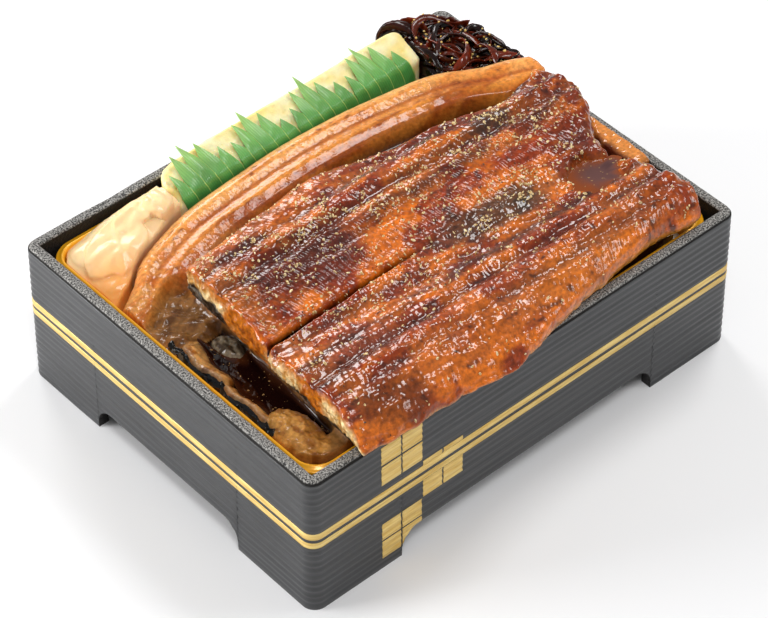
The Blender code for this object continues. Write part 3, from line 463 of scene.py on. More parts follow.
def wall_profile():
    """Points and outward normals around the box, closer together beside the legs' edges."""
    half_x, half_y, radius = BOX_LENGTH / 2, BOX_WIDTH / 2, BOX_CORNER
    points, normals = [], []
    for side_x, side_y, turn in ((1, -1, -90), (1, 1, 0), (-1, 1, 90), (-1, -1, 180)):
        centre = np.array([side_x * (half_x - radius), side_y * (half_y - radius)])
        for angle in np.radians(turn + np.linspace(0, 90, 9)):
            normals.append(np.array([math.cos(angle), math.sin(angle)]))
            points.append(centre + radius * normals[-1])
        start, normal = points[-1], np.round(normals[-1])
        travel = np.array([-normal[1], normal[0]])
        on_short_wall = bool(normal[0])
        half_run = (half_y if on_short_wall else half_x) - radius
        half_notch = NOTCH_HALF_SHORT if on_short_wall else NOTCH_HALF_LONG
        stops = set(np.round(np.linspace(0, 2 * half_run, int(2 * half_run / WALL_STEP) + 1)[1:-1], 3))
        rounding = NOTCH_ROUND * (1 - np.cos(np.radians(np.arange(10, 91, 10))))
        for side in (-1, 1):
            stops.update(round(half_run + side * (half_notch - inside), 3)
                         for inside in (-0.02, 0.02, *rounding))
        for stop in sorted(stops):
            points.append(start + travel * stop)
            normals.append(normal)
    return np.array(points), np.array(normals)


def notch_z(points, normals):
    """Height of the wall's lower edge: 0 at the legs, up to the notch's top between them."""
    across = np.where(np.abs(normals[:, 0]) > 0.999, points[:, 1], points[:, 0])
    half = np.where(np.abs(normals[:, 0]) > 0.999, NOTCH_HALF_SHORT, NOTCH_HALF_LONG)
    straight = (np.abs(normals) > 0.999).any(1)
    inside = half - np.abs(across)
    rounding = np.clip(NOTCH_ROUND - inside, 0, NOTCH_ROUND)
    height = NOTCH_HEIGHT - NOTCH_ROUND + np.sqrt(NOTCH_ROUND ** 2 - rounding ** 2)
    return np.where(straight & (inside > 0), height, 0.0)


def grain_relief(points, z):
    """Ridges of the wood grain pressed into the film: long level waves that drift and merge."""
    run = (points[:, 0] * 0.9 + points[:, 1] * 1.1)[:, None] + 0 * z
    drift = rough_noise(run, z, (110.0, 12.0), octaves=2, seed=41)
    phase = 2 * math.pi * (z + 1.6 * drift) / GRAIN_PITCH
    strength = 0.65 + 0.5 * rough_noise(run, z, (70.0, 5.0), octaves=2, seed=47)
    return GRAIN_DEPTH * strength * (np.sin(phase) + 0.28 * np.sin(3.1 * phase + 1.0))


def ridged_wall(points, normals, heights, lift=0.0):
    """Grid of points on the box's outer face, which flares towards its foot; each point has its heights."""
    out = BOX_FLARE * (1 - heights / BOX_HEIGHT) + grain_relief(points, heights) + lift
    grid = np.empty((*heights.shape, 3))
    grid[..., :2] = points[:, None, :] + normals[:, None, :] * out[..., None]
    grid[..., 2] = heights
    return grid


def make_box(film, foam):
    """Foam box with its ridged film, bare foam rim, raised floor and legs, as one closed body."""
    points, normals = wall_profile()
    low = notch_z(points, normals)
    shares = np.linspace(0, 1, FILM_ROWS)[None, :]
    columns = [ridged_wall(points, normals, low[:, None] + (BOX_HEIGHT - FILM_TOP - low[:, None]) * shares)]

    def ring(offset, z, roughness, seed):
        """Ring inside the outer wall by an offset, with the foam's uneven skin."""
        lumps = roughness * rough_noise(points[:, 0], points[:, 1], RIM_LUMP, z=z, seed=seed)
        layer = np.empty((len(points), 1, 3))
        layer[:, 0, :2] = points - normals * (offset + lumps)[:, None]
        layer[:, 0, 2] = z + 0.6 * lumps
        columns.append(layer)

    ring(0.45, BOX_HEIGHT - FILM_TOP + 0.02, 0.0, 1)
    for offset, drop in RIM_SECTION:
        ring(offset, BOX_HEIGHT - drop, 0.16, 5)
    for z in np.linspace(BOX_HEIGHT - 1.6, BOX_FLOOR_TOP, 14):
        ring(BOX_WALL, z, 0.05, 9)
    grid = np.concatenate(columns, axis=1)
    dent = bump(grid[..., 0] - RIM_DENT_X, 7.0) * smooth(grid[..., 1], 70.0, 74.0)
    dent = dent * smooth(grid[..., 2], 58.0, 62.0)
    grid[..., 2] -= 0.5 * dent
    count, rows = grid.shape[:2]
    faces = grid_faces(rows, count, wrap=True)
    verts = grid.transpose(1, 0, 2).reshape(-1, 3)
    film_faces = (FILM_ROWS - 1) * count
    # Floor inside, then the leg's underside, the skirt's inside and the floor's underside
    faces.append([int(v) for v in (rows - 1) * count + np.arange(count)])
    start = len(verts)
    skirt = []
    for z in (None, 0.35, 0.7, 1.0):
        height = low if z is None else mix(low, BOX_FLOOR_UNDER, z)
        skirt.append(np.c_[points - normals * (BOX_WALL - BOX_FLARE), height])
    verts = np.concatenate([verts] + skirt)
    faces += [[int(j), int(i), start + int(i), start + int(j)]
              for i, j in zip(np.arange(count), np.roll(np.arange(count), -1))]
    faces += grid_faces(len(skirt), count, wrap=True, start=start)
    faces.append([int(v) for v in start + (len(skirt) - 1) * count + np.arange(count)])
    box = finish_mesh("foam_box", verts, faces, film)
    box.data.materials.append(foam)
    index = np.ones(len(box.data.polygons), int)
    index[:film_faces] = 0
    box.data.polygons.foreach_set("material_index", index)
    attach(box, "box")


def make_print(material):
    """Gold stripes all round and the ornament of four-pane squares, printed over the ridges."""
    points, normals = wall_profile()
    verts, faces = [], []

    def add_ink(points, normals, heights, wrap):
        """Thin sheet of ink on the wall, closed at its edges; wrap carries it all round the box."""
        start = sum(len(v) for v in verts)
        for lift in (PRINT_LIFT, PRINT_SUNK):
            verts.append(ridged_wall(points, normals, heights, lift).reshape(-1, 3))
        index = start + np.arange(heights.size * 2).reshape(2, *heights.shape)
        if wrap:
            index = np.concatenate([index, index[:, :1]], axis=1)
        faces.extend(quads_of(index[0]) + quads_of(index[1]))
        for line in (0, -1):
            faces.extend(quads_of(index[:, :, line].T))
            if not wrap:
                faces.extend(quads_of(index[:, line, :].T))

    for low, high in STRIPES:
        heights = np.broadcast_to(np.linspace(low, high, 9), (len(points), 9))
        add_ink(points, normals, heights, wrap=True)
    for x0, x1, z0, z1 in ORNAMENT:
        xs = np.linspace(x0, x1, 30)
        places = np.c_[xs, np.full(len(xs), -BOX_WIDTH / 2)]
        outward = np.tile((0.0, -1.0), (len(xs), 1))
        low = np.maximum(z0, notch_z(places, outward) + 0.05)
        rows = max(int((z1 - z0) / 0.35), 3)
        heights = low[:, None] + (z1 - low[:, None]) * np.linspace(0, 1, rows)[None, :]
        add_ink(places, outward, heights, wrap=False)
    piece = finish_mesh("gold_print", np.concatenate(verts), faces, material)
    attach(piece)


# Tray

def tray_ring(inset, z, steps=12):
    """Ring of the tray's inside wall, moved in by an inset."""
    lean = TRAY_DRAFT * (TRAY_RIM_Z - z) / (TRAY_RIM_Z - BOX_FLOOR_TOP)
    half_x = BOX_LENGTH / 2 - BOX_WALL - TRAY_MARGIN - TRAY_FLANGE - lean - inset
    half_y = BOX_WIDTH / 2 - BOX_WALL - TRAY_MARGIN - TRAY_FLANGE - lean - inset
    radius = TRAY_CORNER - inset
    ring = []
    for quarter, (side_x, side_y) in enumerate(((1, 1), (-1, 1), (-1, -1), (1, -1))):
        for step in range(steps + 1):
            angle = math.radians(90 * (quarter + step / steps))
            ring.append((side_x * (half_x - radius) + radius * math.cos(angle),
                         side_y * (half_y - radius) + radius * math.sin(angle), z))
    return np.array(ring)


def flange_ring(out, z):
    """Ring on the flange, moved out from the rim's inner edge."""
    ring = tray_ring(-out, TRAY_RIM_Z)
    ring[:, 2] = z
    return ring


def make_tray(material):
    """Thin tray whose flange rises from a rounded edge and ends in a rolled lip."""
    floor_out = BOX_FLOOR_TOP + GAP
    floor_in = floor_out + TRAY_WALL
    rim = TRAY_RIM_Z
    rings = [tray_ring(1.5, floor_in), tray_ring(0.5, floor_in + 0.4), tray_ring(0.0, floor_in + 1.5)]
    rings += [tray_ring(0.0, z) for z in (30.0, 42.0, 50.0, rim - 2.2, rim - 0.4)]
    rings += [flange_ring(out, rim + up) for out, up in FLANGE_SECTION]
    rings += [tray_ring(-TRAY_WALL, rim - 2.0), tray_ring(-TRAY_WALL, floor_out + 1.2),
              tray_ring(1.2, floor_out)]
    count = len(rings[0])
    faces = grid_faces(len(rings), count, wrap=True)
    faces.append(list(range(count)))
    faces.append([(len(rings) - 1) * count + i for i in range(count)])
    tray = finish_mesh("golden_tray", np.concatenate(rings), faces, material)
    attach(tray, "tray")


# Upper fillet

def upper_base(x, y):
    """Height of the fillet's underside, which rises a little towards the front."""
    return UPPER_BASE_BACK + UPPER_BASE_TILT * (UPPER_BASE_Y - y)


def cut_x(y):
    """Where the fillet is cut off at its left end."""
    return UPPER_CUT_X + UPPER_CUT_SKEW * (y - UPPER_CUT_Y)


def groove_lines(x):
    """Where each groove runs at a place along the fillet."""
    share = np.clip((x - UPPER_CUT_X) / UPPER_LENGTH, 0.0, 1.0)
    for (near, middle, far), depth, width in UPPER_GROOVES:
        line = np.where(share < 0.5, mix(near, middle, share * 2), mix(middle, far, share * 2 - 1))
        yield line, depth, width


def upper_form(x, y):
    """Height of the upper fillet's top, and how deep in a groove, the cut or the basin each point lies."""
    z = along(UPPER_DOME, y)
    sunk = np.zeros_like(z)
    wander = 1.2 * rough_noise(x, y * 0, 9.0, seed=61)
    for line, depth, width in groove_lines(x):
        part = bump(y - line - wander, 1.35 * width)
        z = z - depth * part
        sunk = np.maximum(sunk, part * min(depth / 2.0, 1.0))
    slot = SLOT_DEPTH * (1 - smooth(x, *SLOT_FADE))
    cut = bump(y - along(SLOT_Y, x), SLOT_WIDTH)
    z = z - slot * cut
    reach = np.hypot((x - VALLEY_CENTRE[0]) / VALLEY_REACH[0], (y - VALLEY_CENTRE[1]) / VALLEY_REACH[1])
    reach = reach + 0.24 * rough_noise(x, y, (7.0, 5.0), octaves=2, seed=64) * (reach < 1.3)
    basin = 1 - smooth((reach - 0.62) / 0.42)
    z = mix(z, np.minimum(z, VALLEY_FLOOR), basin)
    z = z + UPPER_CURL * smooth(x, 60.0, 90.0) * smooth(y, -20.0, -8.0)
    back, front = along(UPPER_BACK_EDGE, x), along(UPPER_FRONT_EDGE, x)
    to_edges = (back - y, y - front, along(UPPER_END, y) - x, x - cut_x(y))
    for distance, (reach_in, drop) in zip(to_edges, UPPER_ROUNDING):
        edge = np.clip(1 - distance / reach_in, 0.0, 1.0)
        z = z - drop * (1 - np.sqrt(1 - edge * edge))
    return z, sunk, cut * (slot / SLOT_DEPTH), basin


def upper_relief(x, y, film):
    """Grilled surface: lumps and folds along the fillet, small knobs, muscle ribs and a folded far end."""
    lumps = 0.55 * rough_noise(x, y, (5.0, 2.6), octaves=2, seed=3)
    folds = 0.55 * rough_noise(x, y, (15.0, 3.8), octaves=2, seed=23)
    knobs = 0.17 * rough_noise(x, y, (2.4, 1.7), octaves=1, seed=27)
    swing = 1.6 * rough_noise(x, y, (14.0, 9.0), octaves=2, seed=31)
    ribs = 0.14 * np.sin(2 * math.pi * (x + 0.35 * np.abs(y + 26.0) + swing) / 2.3)
    flat_part = smooth(y, -27.0, -12.0) * smooth(-y, -2.0, 6.0)
    far_folds = 1.1 * smooth(x, 66.0, 84.0) * rough_noise(x, y, (3.2, 6.5), octaves=2, seed=91)
    rough = lumps + folds + knobs * (1 - 0.6 * flat_part) + ribs * (0.5 + 0.8 * flat_part) + far_folds
    return rough * (1 - 0.85 * film)


def upper_film(x, y, sunk):
    """Where liquid sauce lies level: in the deepest grooves and in three shallow sheets."""
    ragged = 2.2 * rough_noise(x, y, (6.0, 4.0), seed=71)
    first = np.hypot((x + 17.0) / 18.0, (y + 43.0 + 0.1 * (x + 15.0)) / 4.2)
    second = np.hypot((x + 67.0) / 11.0, (y + 33.0) / 6.5)
    third = np.hypot((x - 20.0) / 30.0, (y + 41.5 + 0.12 * (x - 20)) / 4.2)
    first = smooth(1.0 - first + 0.16 * ragged, 0.0, 0.4)
    second = smooth(1.0 - second + 0.14 * ragged, 0.0, 0.3)
    third = smooth(1.0 - third + 0.12 * ragged, 0.0, 0.3)
    groove = smooth(sunk + 0.30 * ragged, 0.80, 1.15)
    return np.clip(np.maximum.reduce([0.7 * first, 0.75 * second, 0.4 * third, 0.8 * groove]), 0.0, 1.0)


def cut_face_colour(y, z, down):
    """Flesh on the cut end: pale fibres, soaked amber parts, and black skin under the back half."""
    fibre = rough_noise(y, z, (1.2, 3.0), seed=127)
    flesh = blend("#ecd29c", "#c18a40", smooth(fibre, -0.25, 0.5))
    soaked = np.clip(bump(y + 14.0, 17.0) + bump(y + 51.0, 7.0), 0, 1)
    soaked = smooth(soaked + 0.35 * rough_noise(y, z, (4.0, 3.0), octaves=2, seed=129), 0.25, 0.75)
    flesh = blend(flesh, blend("#c06c18", "#8a3f0c", smooth(fibre, -0.3, 0.6)), soaked)
    ragged = 0.10 * rough_noise(y, z, 3.0, octaves=2, seed=131)
    lens = smooth(y, -6.0, 2.0)
    line = mix(0.80, 0.46, lens)
    skin = smooth(down + ragged, line, line + 0.08) * np.clip(lens + smooth(-y, 30.0, 42.0), 0, 1)
    grey = smooth(rough_noise(y, z, (3.0, 1.4), octaves=2, seed=137), 0.1, 0.55)
    return blend(flesh, blend("#131413", "#6e7069", grey), skin), soaked, skin


def paint_upper_eel(obj, points, down, on_face, sunk, slot, film, basin):
    """Colour, wetness and amount of pepper at each point of the fillet, from the masks of its parts."""
    px, py, pz = points.T
    on_top = (down == 0).astype(float)
    patches = rough_noise(px, py, (13.0, 7.0), octaves=4, seed=101)
    spots = rough_noise(px, py, (3.4, 2.0), seed=107)
    specks = rough_noise(px, py, 1.3, octaves=2, seed=109)
    colour = blend("#dc7016", "#96340a", smooth(patches + 0.35 * spots, -0.30, 0.30))
    for (at_x, at_y), (wide, deep), hue, share in UPPER_REGIONS:
        region = np.exp(-((px - at_x) / wide) ** 2 - ((py - at_y) / deep) ** 2)
        colour = blend(colour, hue, share * smooth(region + 0.35 * patches, 0.15, 0.75))
    band_drift = 1.5 * rough_noise(px, py * 0, 12.0, octaves=2, seed=115)
    for line, reach, share in UPPER_BANDS:
        broken = smooth(rough_noise(px, py, (18.0, 5.0), seed=int(200 + line)), -0.45, 0.15)
        colour = blend(colour, "#3c1006", share * broken * bump(py - line - band_drift, reach))
    colour = blend(colour, "#30100a", 0.7 * smooth(spots + 0.5 * patches + 0.4 * specks, 0.42, 0.8))
    # Painted sheen: a pinkish orange band along the back rim of the fillet's left half
    back_rim = bump(py - along(UPPER_BACK_EDGE, px) + 3.5, 3.5) * smooth(-px, -10.0, 30.0)
    colour = blend(colour, "#cc7444", 0.5 * back_rim)
    colour = blend(colour, "#3a1008", 0.6 * sunk)
    colour = blend(colour, "#7a3a28", 0.5 * film * (1 - sunk))
    # Dark peppered stain beside the basin, and painted shade on the deep wall behind it
    stain = (1.2 * bump(px - 55.0, 12.0) * bump(py - 5.0, 6.0)
             + 0.8 * bump(px - 38.0, 11.0) * bump(py + 30.0, 6.0))
    stain = smooth(stain + 0.6 * spots, 0.2, 0.95)
    colour = blend(colour, "#332c22", 0.75 * stain)
    # Painted shade darkens the curl's inner wall behind the basin
    inner_wall = smooth(px, 60.0, 70.0) * bump(py + 22.0, 8.0)
    colour = blend(colour, "#4a120a", 0.75 * inner_wall)
    colour = blend(colour, "#b5641c", 0.5 * basin)
    end_rim = smooth(px - along(UPPER_END, py), -5.0, 0.0) * on_top
    colour = blend(colour, blend("#7a2410", "#b8641e", smooth(spots, -0.2, 0.4)), 0.6 * end_rim)
    colour = blend(colour, "#0c0302", smooth(slot, 0.10, 0.6))
    flesh, soaked, skin = cut_face_colour(py, pz, down)
    ragged = 0.06 * rough_noise(py, pz, 3.0, octaves=2, seed=131)
    face = on_face * smooth(down + ragged, 0.05, 0.17)
    lip = on_face * smooth(down + ragged, 0.02, 0.1) * (1 - smooth(down + ragged, 0.17, 0.34))
    colour = blend(colour, flesh, face)
    colour = blend(colour, "#b35f18", 0.7 * lip)
    rim = (1 - on_face) * smooth(down, 0.15, 0.7)
    colour = blend(colour, "#c8842c", 0.75 * rim * (py < -30))
    store(obj, "tint", np.clip(colour, 0.0, 1.0))
    calm = 0.8 * on_top * smooth(rough_noise(px, py, (16.0, 5.0), seed=161), -0.12, 0.25)
    wet = np.clip(np.maximum.reduce([film, slot, 0.9 * basin, calm]), 0, 1) * (1 - face)
    store(obj, "wet", np.maximum(wet, 0.45 * face * np.maximum(soaked, skin)))
    pepper = (0.34 + 3.4 * bump(px - 55.0, 11.0) * bump(py - 5.0, 6.0)
              + 1.6 * bump(px - 38.0, 14.0) * bump(py + 30.0, 8.0)
              + 0.55 * bump(py - 2.0, 15.0) * smooth(-px, -45.0, 0.0)
              + 0.5 * bump(px + 10.0, 25.0) * bump(py + 33.0, 8.0))
    patchy = smooth(rough_noise(px, py, 5.0, seed=151), -0.35, 0.45)
    pepper = pepper * (0.2 + 0.8 * smooth(py, -62.0, -40.0)) * patchy
    store(obj, "pepper", np.clip(pepper * on_top * (1 - slot) * (1 - smooth(basin, 0.5, 0.9)), 0, 2))


def make_upper_eel(material):
    """Grilled fillet: fine relief on top, layered cut face at its left end, folded far end."""
    rows, columns = UPPER_GRID
    share = np.linspace(0, 1, rows)[:, None]
    side = np.linspace(0, 1, columns)[None, :]
    # The ends aren't straight, so the long edges are read at a first guess of each place
    guess = mix(UPPER_CUT_X, 88.0, share) + 0 * side
    back, front = along(UPPER_BACK_EDGE, guess), along(UPPER_FRONT_EDGE, guess)
    y = mix(back, front, side)
    fray = 0.9 * rough_noise(guess, y, 5.0, seed=13)
    y = y + fray * (smooth(side, 0.93, 1.0) - smooth(-side, -0.05, 0.0)) * smooth(share, 0.0, 0.03)
    x = mix(cut_x(y), along(UPPER_END, y), share)
    scallop = 1.3 * fray + 1.5 * rough_noise(x, y, 3.2, octaves=2, seed=15)
    x = x + scallop * smooth(share, 0.95, 1.0)
    z, sunk, slot, basin = upper_form(x, y)
    film = upper_film(x, y, sunk)
    z = z + upper_relief(x, y, np.maximum(film, basin * 0.8)) - 0.15 * film
    top = np.stack([x, y, z], -1)

    def fibres(layer):
        """Torn flesh on the cut face: short slanted fibres over soft lumps."""
        on_cut = smooth(cut_x(layer[:, 1]) + 1.5 - layer[:, 0], 0.0, 1.0)
        lean = layer[:, 1] + 0.6 * layer[:, 2]
        lumps = 0.8 * rough_noise(layer[:, 1], layer[:, 2], (4.5, 4.0), octaves=2, seed=17)
        return (on_cut * (0.6 * rough_noise(lean, layer[:, 2], (1.1, 3.4), seed=19) + lumps)
                + 0.3 * rough_noise(layer[:, 0] + layer[:, 1], layer[:, 2], (3.0, 2.0), octaves=2, seed=29))

    obj, points, down, on_face = slab("upper_fillet", top, upper_base, material, side_rows=24, bulge=0.7,
                                      undercut=1.2, side_relief=fibres)
    count = rows * columns
    loop = edge_loop(rows, columns)

    def spread(values):
        """Values on the top grid, carried down the sides from the edge above them."""
        flat = values.reshape(-1)
        return np.concatenate([flat, np.tile(flat[loop], (len(points) - count) // len(loop))])

    paint_upper_eel(obj, points, down, on_face, *(spread(v) for v in (sunk, slot, film, basin)))
    attach(obj, "upper_eel")
    return obj


# Lower fillet

def strip_crest(y):
    """Where the crest of the curled strip runs."""
    return STRIP_X + 0.7 * np.sin(0.32 * y)


def lower_form(x, y):
    """Height of the lower fillet's top as in the solid, and masks of its back band and of its open end."""
    flesh = FLESH_Z + np.sin(0.55 * x + 0.35 * y)
    trough = mix(TROUGH_Z, flesh, smooth((y - TROUGH_Y[1]) / 6.0))
    trough = mix(STRIP_Z, trough, smooth((y - TROUGH_Y[0]) / 6.0))
    under = smooth((x - cut_x(y) - 2.0) / 7.0)
    z = mix(trough, upper_base(x, y) - 0.45, under)
    strip = smooth((y - STRIP_Y[0]) / 6.0) * smooth((STRIP_Y[1] - y) / 5.0)
    inner = mix(*STRIP_INNER, smooth((STRIP_Y[1] - y) / 38.0))
    spread = np.where(x > strip_crest(y), inner, STRIP_OUTER)
    raised = strip * bump(x - strip_crest(y), spread)
    z = np.maximum(z, mix(z, STRIP_Z + 0.6 * np.sin(0.41 * y + 1.0), raised))
    lumps = []
    for (lump_x, lump_y), (half_x, half_y), foot, rise in END_LUMPS:
        inside = np.clip(1 - ((x - lump_x) / half_x) ** 2 - ((y - lump_y) / half_y) ** 2, 0, 1)
        z = np.where(inside > 0, np.maximum(z, foot + rise * np.sqrt(inside)), z)
        lumps.append(inside)
    # Band along the back edge, with two ridges
    depth = along(LOWER_BACK_EDGE, x) - y
    shoulder = along(LOWER_BACK_RISE, x)
    ridges = 1.6 * bump(depth - 5.0, 3.6) + 1.2 * bump(depth - 14.0, 3.2)
    width = mix(10.0, 18.0, smooth((x + 82.0) / 20.0))
    band = 1 - smooth((depth - width) / 5.0)
    clear = np.where(x > -74, smooth((y - along(UPPER_BACK_EDGE, x) - 2.2) / 3.5), 1.0)
    z = mix(z, np.maximum(z, shoulder + ridges), band * clear)
    lip = smooth((x - along(UPPER_END, y) - 1.2) / 4.0) * smooth((y + 42.0) / 8.0) * smooth((x - 86.0) / 3.0)
    z = mix(z, np.maximum(z, 64.5), lip)
    edge = np.clip(1 - depth / 2.5, 0.0, 1.0)
    z = z - 1.6 * (1 - np.sqrt(1 - edge * edge))
    return {"z": z, "depth": depth, "band": band * clear, "under": under, "raised": raised, "lumps": lumps,
            "lip": lip}


def lower_relief(x, y, form):
    """Small relief: fibres on the band, wrinkles on the open flesh, lumps and a tear on the curled strip."""
    end = smooth(-x, 66.0, 71.0) * (1 - form["band"])
    shown = np.clip(form["band"] + form["lip"] + end, 0, 1)
    fibres = rough_noise(x, y, (5.0, 2.2), seed=203)
    knobs = rough_noise(x, y, 2.2, seed=207)
    warp = 1.8 * rough_noise(x, y, 7.0, octaves=2, seed=211)
    wrinkles = (np.sin(2 * math.pi * (0.67 * x + 0.75 * y + 2.0 * warp) / 3.4)
                + 1.4 * rough_noise(x, y, 3.6, seed=213))
    lump = np.clip(form["lumps"][0] * 3, 0, 1) + np.clip(form["lumps"][1] * 3, 0, 1)
    flesh = end * (1 - np.clip(form["raised"] * 1.5, 0, 1)) * smooth(y, 3.0, 9.0)
    left_knobs = smooth(-x, 60.0, 82.0) * form["band"]
    tear = bump(y - STRIP_SPLIT_Y + 0.25 * (x + 85.0), 1.2) * smooth(form["raised"], 0.2, 0.6)
    streaks = np.sin(0.9 * x + 0.5 * form["depth"])
    return (shown * form["band"] * (0.10 * fibres + 0.05 * knobs + 0.03 * streaks)
            + 0.45 * left_knobs * knobs
            + end * (knobs * np.clip(0.9 * form["raised"] + 1.2 * lump, 0, 1.2) + 0.32 * wrinkles * flesh)
            + 0.5 * knobs * form["lip"] - 2.6 * tear * end)


def make_lower_eel(material):
    """Pale fillet under the other: its ridged back band, and torn strips and lumps at its open end."""
    # Points lie closer together at the open end and along the back edge, which show
    xs = np.r_[np.linspace(LOWER_X[0], -66.0, 62), np.linspace(-65.2, LOWER_X[1], 200)]
    steps = np.r_[np.linspace(0, 32, 70), np.linspace(32.5, 100, 140)]
    x = xs[:, None] + 0 * steps[None, :]
    back, front = along(LOWER_BACK_EDGE, x), along(LOWER_FRONT_EDGE, x)
    squeeze = np.minimum((back - front) / 60.0, 1.0)
    y = np.where(steps[None, :] <= 32, back - steps[None, :] * squeeze,
                 mix(back - 32 * squeeze, front, (steps[None, :] - 32) / 68.0))
    form = lower_form(x, y)
    z = np.maximum(form["z"] + lower_relief(x, y, form), FOOD_BASE + 1.0)
    z = np.where(x > LOWER_OVER_RIM_X, np.maximum(z, TRAY_RIM_Z + 1.6), z)
    top = np.stack([x, y, z], -1)

    def underside(a, b):
        """The fillet's underside: on what lies in the tray, and over the tray's lip at its far end."""
        return np.where(a > LOWER_OVER_RIM_X - 0.05, TRAY_RIM_Z + 0.6, FOOD_BASE)

    obj, points, _, _ = slab("lower_fillet", top, underside, material, side_rows=8, bulge=0.35, undercut=0.5)
    px, py, pz = points.T
    form = lower_form(px, py)
    band, lumps, raised = form["band"], form["lumps"], form["raised"]
    streaks = rough_noise(px, py, (16.0, 3.0), seed=223)
    spots = rough_noise(px, py, (3.0, 1.6), seed=227)
    colour = blend("#f4a858", "#dd8432", smooth(streaks, -0.3, 0.5))
    inner = smooth(form["depth"], 8.5, 11.0)
    browned = blend("#d88226", "#a04c0c", smooth(streaks + 0.4 * spots, -0.3, 0.4))
    colour = blend(colour, browned, 0.8 * inner)
    between = np.clip(bump(form["depth"] - 9.4, 1.3) + 0.8 * bump(form["depth"] - 17.8, 2.0), 0, 1)
    colour = blend(colour, "#963c10", 0.7 * between)
    colour = blend(colour, "#f9c888", 0.5 * bump(form["depth"] - 1.5, 1.6))
    left = smooth(-px, 35.0, 85.0)
    colour = blend(colour, blend("#c86a24", "#e39a4c", smooth(spots, -0.3, 0.3)), 0.6 * left)
    colour = blend(colour, "#7a3412", 0.7 * smooth(spots + 0.3 * streaks, 0.36, 0.7) * band)
    end = smooth(-px, 64.0, 69.0) * (1 - band)
    torn = blend("#9a6a38", "#6a4220", smooth(rough_noise(px, py, (5.0, 2.5), seed=229), -0.3, 0.5))
    colour = blend(colour, torn, end)
    gold = blend("#dfa660", "#a8641f", smooth(rough_noise(px, py, 2.2, seed=233), -0.2, 0.5))
    colour = blend(colour, gold, end * smooth(raised, 0.06, 0.22))
    crest = smooth(raised, 0.4, 0.7) * smooth(strip_crest(py) + 1.5 - px, 0.0, 1.5)
    colour = blend(colour, "#8d7a6a", 0.55 * end * crest)
    colour = blend(colour, "#2c1408", end * smooth(-pz, -54.5, -51.5) * (py < 6))
    lump = blend("#cf9448", "#94591f", smooth(rough_noise(px, py, (2.0, 4.0), seed=239), -0.2, 0.5))
    lump = blend(lump, "#8a4510", 0.7 * smooth(px, -82.0, -76.0))
    colour = blend(colour, lump, np.clip(lumps[0] * 4, 0, 1) * (1 - form["under"]))
    grey = blend("#8c7c66", "#453626", smooth(rough_noise(px, py, (1.6, 3.0), seed=241), -0.2, 0.4))
    colour = blend(colour, grey, np.clip(lumps[1] * 4, 0, 1) * (1 - smooth(form["under"], 0.3, 0.8)))
    # Painted shade: the lower fillet turns dark brown where it runs under the upper fillet
    colour = blend(colour, "#3a1a0a", (1 - band) * smooth(form["under"], 0.3, 0.8))
    colour = blend(colour, blend("#56180a", "#ea9448", smooth(px + spots, 88.0, 92.0)), form["lip"])
    store(obj, "tint", np.clip(colour, 0, 1))
    wet_band = 0.45 * inner * smooth(px, -30.0, 60.0)
    store(obj, "wet", np.clip(0.15 + 0.15 * end + 0.2 * between + wet_band + 0.4 * form["lip"], 0, 1))
    attach(obj, "lower_eel")


def make_black_skin(material):
    """Crinkled black skin that hangs from the curled strip over the tray's rim."""
    ys = np.linspace(10.5, -47.0, 190)
    shares = np.linspace(0, 1, 18)
    y, t = ys[:, None] + 0 * shares[None, :], shares[None, :] + 0 * ys[:, None]
    crinkle = rough_noise(y, t * 5.0, 2.4, seed=301)
    hang = 0.8 + 0.5 * rough_noise(y, 0 * y, 7.0, octaves=2, seed=303)
    fade = smooth(y, -48.0, -42.0) * smooth(-y, -11.0, -6.0) * (1 - 0.8 * bump(y - STRIP_SPLIT_Y - 1.0, 1.8))
    x = strip_crest(y) - 1.0 - 3.4 * t * hang * fade + 0.9 * crinkle
    z = STRIP_Z - 1.0 + 0.6 * np.sin(0.41 * y + 1.0) - (0.4 + 2.4 * t ** 1.3 * hang) * fade - 0.8 * (1 - fade)
    z = np.maximum(z + 0.8 * crinkle, np.where(x < -91.3, TRAY_RIM_Z + 0.15, 0.0))
    outer = np.stack([x, y + 0.9 * crinkle, z], -1)
    inner = outer + np.array([1.0, 0.0, 0.5])
    rows, columns = x.shape
    verts = np.concatenate([outer.reshape(-1, 3), inner.reshape(-1, 3)])
    half = rows * columns
    faces = grid_faces(rows, columns) + grid_faces(rows, columns, start=half)
    loop = edge_loop(rows, columns).tolist()
    faces += [[a, b, b + half, a + half] for a, b in zip(loop, loop[1:] + loop[:1])]
    skin = finish_mesh("eel_skin", verts, faces, material)
    store(skin, "tint", np.tile(linear("#101112"), (len(verts), 1)))
    store(skin, "wet", np.full(len(verts), 0.55))
    attach(skin)


